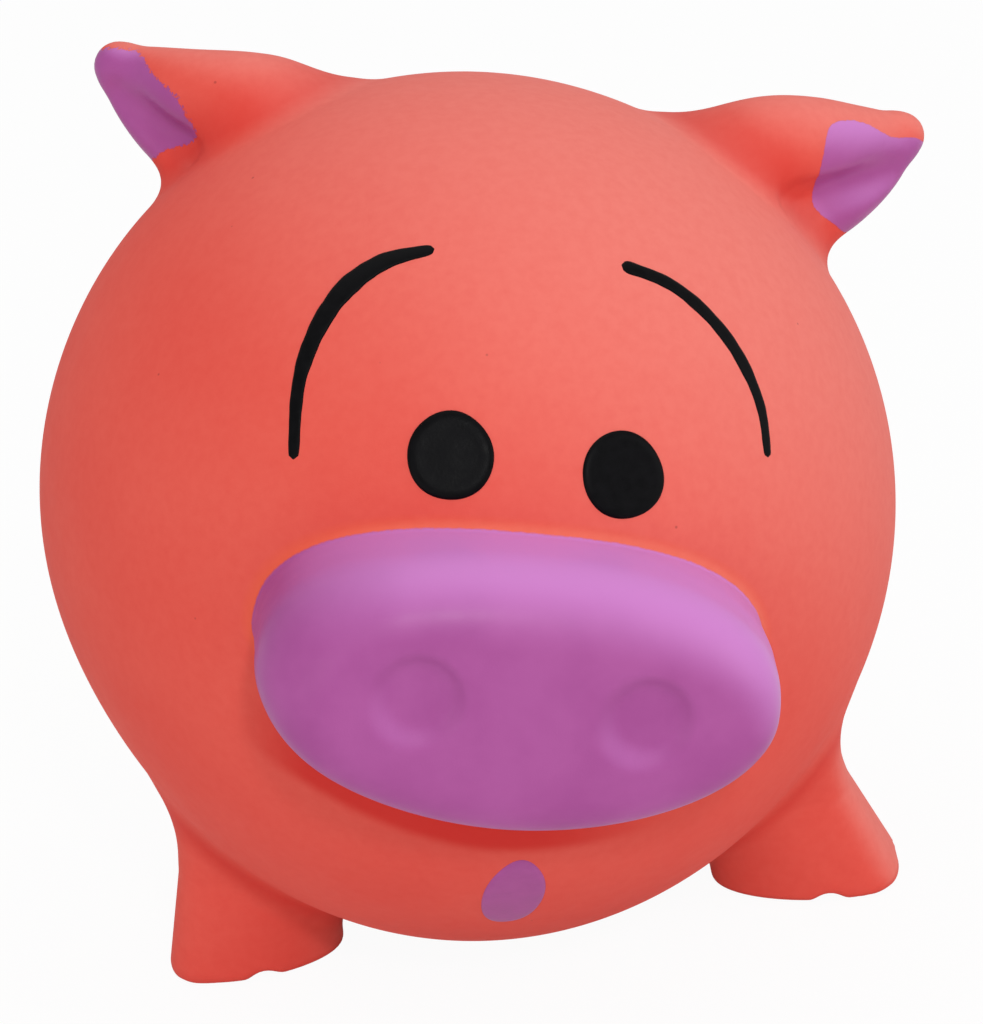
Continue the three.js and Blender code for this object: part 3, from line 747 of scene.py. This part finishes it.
def mixed(tree, share, first, second):
    """A colour between two others."""
    return add_node(tree, "Mix", {0: share, 6: first, 7: second}, data_type="RGBA").outputs[2]


def calculated(tree, operation, *values):
    """What a sum of numbers or sockets comes to."""
    return add_node(tree, "Math", dict(enumerate(values)), operation=operation).outputs[0]


def ranged(tree, value, low, high, to_low=0.0, to_high=1.0):
    """A value taken from one range to another, and held at its ends."""
    inputs = {"Value": value, "From Min": low, "From Max": high, "To Min": to_low, "To Max": to_high}
    return add_node(tree, "MapRange", inputs).outputs[0]


def cloudy(tree, place, scale, detail=3.0, roughness=0.55):
    """An uneven value, as in clouds."""
    inputs = {"Vector": place, "Scale": scale, "Detail": detail, "Roughness": roughness}
    return add_node(tree, "TexNoise", inputs).outputs[0]


CORAL_PALE = linear(235, 95, 82)
CORAL_FULL = linear(232, 88, 76)
# random deeper patches, and also the painted shade in the corners and under the snout
CORAL_DEEP = linear(216, 40, 34)
# a painted rim of bounced light round the snout's paint
CORAL_BOUNCE_LIGHT = linear(242, 100, 62)
# painted sheen on faces that look up and to the right
CORAL_SHEEN = linear(244, 131, 120)
PURPLE_FULL = linear(169, 81, 151)
PURPLE_PALE = linear(177, 89, 159)
# painted sheen on the paint's faces that look up and to the right
PURPLE_SHEEN = linear(214, 136, 212)
SPECK_BROWN = linear(120, 40, 40)
# the corner's share is painted shade, and the rim's share is painted bounced light
MOTTLE_SHARE, CORNER_SHADE_SHARE, BOUNCE_RIM_SHARE, SPECK_SHARE = 0.14, 0.8, 0.45, 0.4  # most of each tint
MATT, SATIN = (0.66, 0.74), (0.33, 0.4)  # roughness of bare latex and of paint
LATEX_SPECULAR = 0.16
BUMP_HEIGHT = 0.1 * MM

painted_latex, tree, shader = new_finish("painted_latex")
place = add_node(tree, "Attribute", attribute_name="rest_place").outputs["Vector"]
edge = add_node(tree, "Attribute", attribute_name="paint_edge").outputs["Fac"]
ragged = add_node(tree, "Attribute", attribute_name="paint_ragged").outputs["Fac"]
# the painted shade in the corners and under the snout, and the painted sheen on upward faces
painted_shade_share = add_node(tree, "Attribute", attribute_name="valley").outputs["Fac"]
painted_sheen_share = add_node(tree, "Attribute", attribute_name="bloom").outputs["Fac"]

drift = cloudy(tree, place, 0.045)
mottle = cloudy(tree, place, 0.9, 4.0)
coral = mixed(tree, ranged(tree, drift, 0.35, 0.65), CORAL_FULL, CORAL_PALE)
# painted sheen on the faces that look up and to the right
coral = mixed(tree, painted_sheen_share, coral, CORAL_SHEEN)
coral = mixed(tree, ranged(tree, mottle, 0.35, 0.8, 0.0, MOTTLE_SHARE), coral, CORAL_DEEP)
# painted shade in the corners and the snout's painted shadow
coral = mixed(tree, ranged(tree, painted_shade_share, 0.0, 1.0, 0.0, CORNER_SHADE_SHARE), coral, CORAL_DEEP)
# a painted rim of bounced light round the snout's paint
on_snout_only = ranged(tree, ragged, 0.06, 0.1, BOUNCE_RIM_SHARE, 0.0)
painted_bounce_rim = calculated(tree, "MULTIPLY", ranged(tree, edge, 0.1, 1.2, 1.0, 0.0), on_snout_only)
coral = mixed(tree, painted_bounce_rim, coral, CORAL_BOUNCE_LIGHT)
speck = add_node(tree, "TexVoronoi", {"Vector": place, "Scale": 0.16}).outputs["Distance"]
coral = mixed(tree, ranged(tree, speck, 0.016, 0.03, SPECK_SHARE, 0.0), coral, SPECK_BROWN)

wobble = cloudy(tree, place, 1.6, 5.0, 0.75)
shifted = calculated(tree, "MULTIPLY_ADD", ranged(tree, wobble, 0.25, 0.75, -1.0, 1.0), ragged, edge)
painted = ranged(tree, shifted, 0.05, -0.05)
purple = mixed(tree, ranged(tree, cloudy(tree, place, 0.12), 0.35, 0.65), PURPLE_FULL, PURPLE_PALE)
# painted sheen on the upward faces of the paint
purple = mixed(tree, painted_sheen_share, purple, PURPLE_SHEEN)
tree.links.new(mixed(tree, painted, coral, purple), shader.inputs["Base Color"])

matt = ranged(tree, cloudy(tree, place, 0.35), 0.3, 0.7, *MATT)
satin = ranged(tree, cloudy(tree, place, 0.5), 0.3, 0.7, *SATIN)
gloss = add_node(tree, "Mix", {0: painted, 2: matt, 3: satin}).outputs[0]
tree.links.new(gloss, shader.inputs["Roughness"])
grain = add_node(
    tree, "Bump", {"Strength": 0.12, "Distance": BUMP_HEIGHT, "Height": cloudy(tree, place, 5.0, 2.0)}
).outputs[0]
film = add_node(
    tree, "Bump", {"Strength": 0.5, "Distance": BUMP_HEIGHT, "Height": painted, "Normal": grain}
).outputs[0]
tree.links.new(film, shader.inputs["Normal"])
shader.inputs["Specular IOR Level"].default_value = LATEX_SPECULAR


def new_piece(name, mesh, material, in_mm=True):
    """A finished piece from a bmesh about the ball's middle, in millimetres."""
    data = bpy.data.meshes.new(name)
    for face in mesh.faces:
        face.smooth = True
    mesh.to_mesh(data)
    mesh.free()
    if in_mm:
        data.transform(Matrix.Translation(ball_middle) @ Matrix.Scale(MM, 4))
    data.materials.append(material)
    return placed(name, data)


def keep_values(piece, **values):
    """Keeps numbers or places on a piece's points, for its finish to read."""
    for name, numbers in values.items():
        numbers = np.asarray(numbers, np.float32)
        kind, field = ("FLOAT_VECTOR", "vector") if numbers.ndim == 2 else ("FLOAT", "value")
        kept = piece.data.attributes.new(name, kind, "POINT")
        kept.data.foreach_set(field, numbers.ravel())


def latex_piece(name, mesh):
    points = places(mesh)
    normals = slope_at(points)
    normals /= np.maximum(np.linalg.norm(normals, axis=1, keepdims=True), 1e-6)
    piece = new_piece(name, mesh, painted_latex)
    edge, ragged = paint_edge(points)
    keep_values(piece, rest_place=points, paint_edge=edge, paint_ragged=ragged)
    keep_values(piece, valley=valley(points), bloom=bloom(normals))
    return piece


def in_frame(point):
    """A point in millimetres about the ball's middle, in metres in the frame."""
    return tuple(ball_middle + Vector(point) * MM)


body_skin = latex_piece("latex_body", mouldings["body"])
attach(body_skin, "ball")
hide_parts("body_shell", "tail", *[leg for leg, *_ in FEET])

EAR_BEND = (-0.5, 7.5)  # heights off the ball of two points on each ear's upright axis
for side, (root, axes) in ears.items():
    ear = latex_piece(f"latex_ear_{side}", mouldings[f"{side}_ear"])
    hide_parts(f"ear_{side}", f"ear_lining_{side}")
    start, end = (in_frame(root + height * axes[2]) for height in EAR_BEND)
    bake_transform(ear)

snout_skin = latex_piece("latex_snout", mouldings["snout"])
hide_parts("snout")
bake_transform(snout_skin)

# The eyes: two round dabs of thick black paint, put on the ball by hand and a little dished where
# they dried. They go in with the face when the snout is pressed.
EYE_RADIUS = 4.2
EYE_SPOTS = {"left": (25.9, -13.0), "right": (24.3, 10.6)}  # latitude, longitude in the face
# radius share and height of the dab from its middle to its edge and under the ball's surface
EYE_PROFILE = (
    (0, 0.16), (0.3, 0.165), (0.55, 0.18), (0.68, 0.22), (0.78, 0.27), (0.88, 0.27), (0.95, 0.2),
    (0.99, 0.1), (1.0, 0.0), (1.0, -0.3), (0, -0.3),
)
# ripples of each dab's edge: how many go round it, and how high they are
EYE_WAVES = {
    "left": ((2, 0.02), (3, 0.012), (5, 0.006)),
    "right": ((2, 0.012), (3, 0.015), (4, 0.008)),
}
DAB_STEPS = 72
face_axes = np.array(Matrix.Rotation(FACE_ROLL, 3, "Y"))


def clouded_finish(name, scale, colours, gloss, detail=3.0, spread=(0.3, 0.7), bump=None, specular=0.5):
    """A finish of two clouded colours, uneven gloss and a fine bump of [strength, scale]."""
    material, tree, shader = new_finish(name)
    place = add_node(tree, "TexCoord").outputs["Object"]
    cloud = cloudy(tree, place, scale, detail)
    tree.links.new(mixed(tree, ranged(tree, cloud, *spread), *colours), shader.inputs["Base Color"])
    tree.links.new(ranged(tree, cloud, 0.3, 0.7, *gloss), shader.inputs["Roughness"])
    if bump:
        height = cloudy(tree, place, bump[1], 2.0)
        fine = add_node(tree, "Bump", {"Strength": bump[0], "Distance": BUMP_HEIGHT, "Height": height})
        tree.links.new(fine.outputs[0], shader.inputs["Normal"])
    shader.inputs["Specular IOR Level"].default_value = specular
    return material


black_paint = clouded_finish(
    "black_paint",
    scale=900.0,
    detail=4.0,
    colours=(linear(3, 3, 5), linear(9, 9, 12)),
    spread=(0.35, 0.75),
    gloss=(0.36, 0.5),
    bump=(0.15, 2600.0),
    specular=0.08,
)


def face_spot(latitude, longitude):
    """The way out of the ball at a latitude and longitude of the face, with the ways across and up."""
    lat, lon = math.radians(latitude), math.radians(longitude)
    out = np.array((math.cos(lat) * math.sin(lon), -math.cos(lat) * math.cos(lon), math.sin(lat)))
    across = np.cross((0, 0, 1), out)
    across /= np.linalg.norm(across)
    return np.array((across, np.cross(out, across), out)) @ face_axes.T


def turned(profile, steps, closed=False):
    """A round body turned about Z from a profile of [radius, height]."""
    mesh = bmesh.new()
    ring = [mesh.verts.new((radius, 0, height)) for radius, height in profile]
    following = ring[1:] + ring[:1] if closed else ring[1:]
    line = [mesh.edges.new(pair) for pair in zip(ring, following)]
    bmesh.ops.spin(
        mesh, geom=ring + line, cent=(0, 0, 0), axis=(0, 0, 1), angle=2 * math.pi, steps=steps, use_merge=True
    )
    bmesh.ops.remove_doubles(mesh, verts=mesh.verts, dist=1e-4)
    bmesh.ops.recalc_face_normals(mesh, faces=mesh.faces)
    return mesh


def dab(name, spot, half_x, half_y, turn, wave, profile, material):
    """A dab of paint turned from a profile, pulled to an oval with a wavy edge and laid on the ball."""
    across, up, out = face_spot(*spot)
    mesh = turned(profile, DAB_STEPS)
    local = places(mesh)
    angle = np.arctan2(local[:, 1], local[:, 0])
    edge = 1 + sum(height * np.sin(count * angle + count * count) for count, height in wave)
    x, y = local[:, 0] * edge * half_x, local[:, 1] * edge * half_y
    cos_turn, sin_turn = math.cos(math.radians(turn)), math.sin(math.radians(turn))
    flat = np.outer(x * cos_turn - y * sin_turn, across) + np.outer(x * sin_turn + y * cos_turn, up)
    ways = flat + BALL_RADIUS * out
    ways /= np.linalg.norm(ways, axis=1)[:, None]
    on_skin = settle(ways * BALL_RADIUS)
    set_places(mesh, on_skin + ways * local[:, 2:3])
    return new_piece(name, mesh, material)


for side, spot in EYE_SPOTS.items():
    wave = EYE_WAVES[side]
    eye = dab(f"painted_eye_{side}", spot, EYE_RADIUS, EYE_RADIUS, 0, wave, EYE_PROFILE, black_paint)
    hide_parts(f"eye_{side}")
    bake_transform(eye)

# The brows: two long strokes of the same black paint, each pressed out wide by the brush near
# its upper end and thinning as it comes down the side of the face.
BROW_LINES = {
    "left": ((52.4, -21.4), (48.8, -31), (42.3, -36), (32.8, -36.7), (22.2, -34.0)),
    "right": ((51.4, 16.9), (47.4, 26.8), (39.9, 33.1), (31.4, 35.1), (24.2, 34.1)),
}  # latitude, longitude in the face
BROW_WIDTHS = {
    "left": (0.55, 0.92, 1.15, 1.17, 1.04, 0.87, 0.72, 0.63, 0.55),
    "right": (0.74, 0.77, 0.78, 0.8, 0.82, 0.78, 0.68, 0.58, 0.48),
}  # half widths along the stroke
BROW_RIPPLES = ((7, 0.02), (13, 0.03), (29, 0.015))  # of its edge: how many, and how high
BROW_TIP = 0.995  # how far its round ends close
BROW_RELIEF = 0.2
BROW_STEPS = 96

for side, spots in BROW_LINES.items():
    line = smooth_line([face_spot(*spot)[2] for spot in spots], BROW_STEPS)
    line *= BALL_RADIUS / np.linalg.norm(line, axis=1)[:, None]
    run = np.concatenate([[0], np.cumsum(np.linalg.norm(np.diff(line, axis=0), axis=1))])
    shares = run / run[-1]
    widths = np.interp(shares, np.linspace(0, 1, len(BROW_WIDTHS[side])), BROW_WIDTHS[side])
    for count, height in BROW_RIPPLES:
        widths = widths * (1 + height * np.sin(count * shares * math.pi + count))
    to_end = np.minimum(run, run[-1] - run)
    past = np.clip(1 - to_end / widths, 0, BROW_TIP)
    widths = widths * np.sqrt(1 - past**2)
    stroke = bpy.data.curves.new(f"brow_{side}", "CURVE")
    stroke.dimensions = "3D"
    stroke.bevel_depth = 1
    stroke.bevel_resolution = 4
    stroke.use_fill_caps = True
    spline = stroke.splines.new("POLY")
    spline.points.add(BROW_STEPS - 1)
    for point, spot, width in zip(spline.points, line, widths):
        point.co = (*spot, 1)
        point.radius = width
    holder = bpy.data.objects.new("stroke", stroke)
    mesh = bmesh.new()
    mesh.from_mesh(holder.to_mesh())
    holder.to_mesh_clear()
    bpy.data.objects.remove(holder)
    bpy.data.curves.remove(stroke)
    points = places(mesh)
    from_middle = np.linalg.norm(points, axis=1)[:, None]
    ways = points / from_middle
    set_places(mesh, settle(ways * BALL_RADIUS) + ways * (from_middle - BALL_RADIUS) * BROW_RELIEF)
    brow = new_piece(f"painted_brow_{side}", mesh, black_paint)
    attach(brow, "ball")
    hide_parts(f"brow_{side}")

# The mouth: one slanting dab of the snout's purple paint, put on the ball below the snout by
# hand, so its edge is a little uneven.
MOUTH_HALF = (3.1, 6.8)
MOUTH_SPOT = (-38.6, 3.05)
MOUTH_TURN = 3.8
MOUTH_WAVE = ((3, 0.015), (5, 0.01))
MOUTH_PROFILE = (
    (0, 0.2), (0.5, 0.2), (0.8, 0.19), (0.92, 0.15), (0.98, 0.08), (1.0, 0.0), (1.0, -0.3), (0, -0.3),
)

purple_paint = clouded_finish(
    "purple_paint",
    scale=500.0,
    detail=4.0,
    colours=(PURPLE_FULL, PURPLE_PALE),
    gloss=(0.36, 0.46),
    bump=(0.2, 2200.0),
    specular=0.2,
)
mouth = dab("painted_mouth", MOUTH_SPOT, *MOUTH_HALF, MOUTH_TURN, MOUTH_WAVE, MOUTH_PROFILE, purple_paint)
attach(mouth, "ball")
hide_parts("mouth")

# The squeaker: a white moulded plug in the belly with a flange outside and one inside the skin,
# an air hole through it, and the cap, reed bed and clip that hold its film reed.
plug_low, plug_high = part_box("squeaker_plug")
PLUG_BOTTOM = (plug_low.z - ball_middle.z) / MM
PLUG_TOP = (plug_high.z - ball_middle.z) / MM
FLANGE_RADIUS, FLANGE_TOP = 9.0, BELLY_LEVEL - 0.3
NECK_RADIUS, SEAT_TOP = 5.5, BELLY_LEVEL + 2.9
INNER_RADIUS, INNER_TOP = 8.0, BELLY_LEVEL + 4.1
BARREL_RADIUS, BORE_RADIUS, HOLE_RADIUS = 6.6, 5.2, 1.4
HOLE_CHAMFER = 0.5
PLUG_ROUNDING = 0.2
PLUG_STEPS = 64

white_plastic = clouded_finish(
    "white_plastic",
    scale=250.0,
    colours=(linear(232, 229, 220), linear(240, 237, 230)),
    gloss=(0.32, 0.42),
    bump=(0.08, 1800.0),
)
PLUG_PROFILE = (
    (HOLE_RADIUS, PLUG_BOTTOM + HOLE_CHAMFER), (HOLE_RADIUS + HOLE_CHAMFER, PLUG_BOTTOM),
    (FLANGE_RADIUS, PLUG_BOTTOM), (FLANGE_RADIUS, FLANGE_TOP), (NECK_RADIUS, FLANGE_TOP),
    (NECK_RADIUS, SEAT_TOP), (INNER_RADIUS, SEAT_TOP), (INNER_RADIUS, INNER_TOP),
    (BARREL_RADIUS, INNER_TOP), (BARREL_RADIUS, PLUG_TOP), (BORE_RADIUS, PLUG_TOP),
    (BORE_RADIUS, INNER_TOP), (HOLE_RADIUS, INNER_TOP),
)
plug = new_piece("moulded_squeaker_plug", turned(PLUG_PROFILE, PLUG_STEPS, closed=True), white_plastic)
rounded = plug.modifiers.new("rounded", "BEVEL")
rounded.width = PLUG_ROUNDING * MM
rounded.segments = 2
rounded.limit_method = "ANGLE"
rounded.harden_normals = True
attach(plug, "ball")
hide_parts("squeaker_plug")
for node in ("squeaker_cap", "reed_bed", "reed_clip"):
    frame["nodes"][node].data.materials.clear()
    frame["nodes"][node].data.materials.append(white_plastic)

clear_film = clouded_finish(
    "clear_film",
    scale=400.0,
    colours=(linear(222, 226, 230), linear(234, 237, 240)),
    gloss=(0.12, 0.22),
)
frame["nodes"]["reed"].data.materials.clear()
frame["nodes"]["reed"].data.materials.append(clear_film)

# The stuffing: loose white polyester fibre that fills the ball round the squeaker, and a smaller
# tuft of it in the snout, which gives way when the snout is pressed.
STUFFING_RADIUS = 41.6
STUFFING_LUMP, STUFFING_LUMP_SCALE = 0.9, 0.16
STUFFING_SKIN = 0.5  # depth of the outer layer that the lumps move
SQUEAKER_ROOM = 11.2
SQUEAKER_ROOM_STEPS = 12
SQUEAKER_ROOM_TOP = PLUG_TOP + 2.4
STUFFING_FRONT = 32.5  # distance of its front from the ball's middle, behind the snout's tuft
STUFFING_FLATNESS = 0.92  # what lies in front of that is pushed back by this share
FLUFF_HEIGHT = 0.4 * MM

fibre, tree, shader = new_finish("white_fibre")
place = add_node(tree, "TexCoord").outputs["Object"]
strands = cloudy(tree, place, 700.0, 6.0, 0.8)
tree.links.new(
    mixed(tree, ranged(tree, strands, 0.3, 0.7), linear(226, 223, 216), linear(246, 244, 240)),
    shader.inputs["Base Color"],
)
shader.inputs["Roughness"].default_value = 0.95
fluff = add_node(tree, "Bump", {"Strength": 0.6, "Distance": FLUFF_HEIGHT, "Height": strands}).outputs[0]
tree.links.new(fluff, shader.inputs["Normal"])


def lumps(points, scale, height):
    """Uneven heights over a piece, the same at each run."""
    return np.array([height * noise.noise(Vector(p) * scale) for p in points])


mesh = bmesh.new()
bmesh.ops.create_uvsphere(mesh, u_segments=72, v_segments=48, radius=STUFFING_RADIUS)
room_level = -math.sqrt(STUFFING_RADIUS**2 - SQUEAKER_ROOM**2)
opening = [f for f in mesh.faces if f.calc_center_median().z < room_level]
bmesh.ops.delete(mesh, geom=opening, context="FACES")
rim = [e for e in mesh.edges if e.is_boundary]
room_step = (SQUEAKER_ROOM_TOP - min(v.co.z for v in mesh.verts)) / SQUEAKER_ROOM_STEPS
for _ in range(SQUEAKER_ROOM_STEPS):
    grown = bmesh.ops.extrude_edge_only(mesh, edges=rim)["geom"]
    raised = [g for g in grown if isinstance(g, bmesh.types.BMVert)]
    bmesh.ops.translate(mesh, verts=raised, vec=(0, 0, room_step))
    rim = [g for g in grown if isinstance(g, bmesh.types.BMEdge)]
bmesh.ops.holes_fill(mesh, edges=rim, sides=0)
bmesh.ops.recalc_face_normals(mesh, faces=mesh.faces)
points = places(mesh)
reach = np.linalg.norm(points, axis=1)
outer = reach > STUFFING_RADIUS - STUFFING_SKIN
swell = 1 - (STUFFING_LUMP - lumps(points, STUFFING_LUMP_SCALE, STUFFING_LUMP)) / STUFFING_RADIUS
points[outer] *= swell[outer][:, None]
forward = points @ snout_out
too_far = forward > STUFFING_FRONT
points[too_far] -= np.outer((forward - STUFFING_FRONT)[too_far] * STUFFING_FLATNESS, snout_out)
set_places(mesh, points)
stuffing = new_piece("fibre_stuffing", mesh, fibre)
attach(stuffing, "ball")
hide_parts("stuffing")

TUFT_HALF = (20.5, 9.0)
TUFT_REACH = (36.0, 52.0)
TUFT_FULLNESS = 0.75  # power that fills out its corners; 1 is an egg
TUFT_LUMP, TUFT_LUMP_SCALE = 0.05, 0.2
mesh = bmesh.new()
bmesh.ops.create_icosphere(mesh, subdivisions=5, radius=1)
points = places(mesh)
full = np.sign(points) * np.abs(points) ** TUFT_FULLNESS
full *= np.array((*TUFT_HALF, (TUFT_REACH[1] - TUFT_REACH[0]) / 2))
full *= 1 + lumps(full, TUFT_LUMP_SCALE, TUFT_LUMP)[:, None]
full[:, 2] += sum(TUFT_REACH) / 2
set_places(mesh, full @ snout_axes)
tuft = new_piece("fibre_snout_filling", mesh, fibre)
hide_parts("snout_filling")
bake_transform(tuft)

# The table and the light: a white surface that keeps the toy's shadow, a small lamp in front with
# wide soft ones to the right, above and to the left, and a pale room all round.
FLOOR_HALF = 3.0
TABLE_GREY = (0.86, 0.86, 0.86, 1)
TABLE_IN_GLOSS = 0.4  # how bright the table shows in soft reflections
TABLE_WHITENESS = 0.95  # share of plain white where it is seen, the rest keeps the shadow
ROOM_COLOUR = (1.0, 0.99, 0.98, 1)
ROOM_LIGHT = 0.58
floor_mesh = bmesh.new()
bmesh.ops.create_grid(floor_mesh, x_segments=2, y_segments=2, size=FLOOR_HALF)
white_table, tree, shader = new_finish("white_table")
shader.inputs["Base Color"].default_value = TABLE_GREY
shader.inputs["Roughness"].default_value = 0.9
shader.inputs["Specular IOR Level"].default_value = 0.0
glow = add_node(tree, "Emission", {"Color": (1, 1, 1, 1), "Strength": 1.0})
ray = add_node(tree, "LightPath").outputs
in_gloss = calculated(tree, "MULTIPLY", ray["Is Glossy Ray"], TABLE_IN_GLOSS)
seen = calculated(tree, "MAXIMUM", ray["Is Camera Ray"], in_gloss)
seen = calculated(tree, "MAXIMUM", seen, ray["Is Transmission Ray"])
whiter = calculated(tree, "MULTIPLY", seen, TABLE_WHITENESS)
both = add_node(tree, "MixShader", {0: whiter, 1: shader.outputs[0], 2: glow.outputs[0]}).outputs[0]
tree.links.new(both, tree.nodes["Material Output"].inputs["Surface"])
table = new_piece("table", floor_mesh, white_table, in_mm=False)

world = bpy.data.worlds.new("room")
bpy.context.scene.world = world
world.use_nodes = True
tree = world.node_tree
ray = add_node(tree, "LightPath").outputs
room = tree.nodes["Background"]
room.inputs["Color"].default_value = ROOM_COLOUR
seen = calculated(tree, "MAXIMUM", ray["Is Camera Ray"], ray["Is Transmission Ray"])
tree.links.new(ranged(tree, seen, 0.0, 1.0, ROOM_LIGHT, 1.0), room.inputs["Strength"])


def soft_lamp(name, place, width, power):
    """A round lamp that looks at the ball."""
    lamp = bpy.data.lights.new(name, "AREA")
    lamp.shape = "DISK"
    lamp.size = width
    lamp.energy = power
    away = Vector(place)
    facing = away.to_track_quat("Z", "Y").to_matrix().to_4x4()
    placed(name, lamp).matrix_world = Matrix.Translation(ball_middle + away) @ facing


soft_lamp("lamp", (0.05, -0.75, 0.49), 0.08, 1.57)
soft_lamp("window", (0.75, -0.4, 0.3), 0.6, 1.2)
soft_lamp("ceiling", (0.0, 0.05, 1.0), 1.0, 1.6)
soft_lamp("fill", (-0.6, -0.65, 0.08), 0.6, 0.98)

bpy.context.scene.view_settings.view_transform = "Standard"
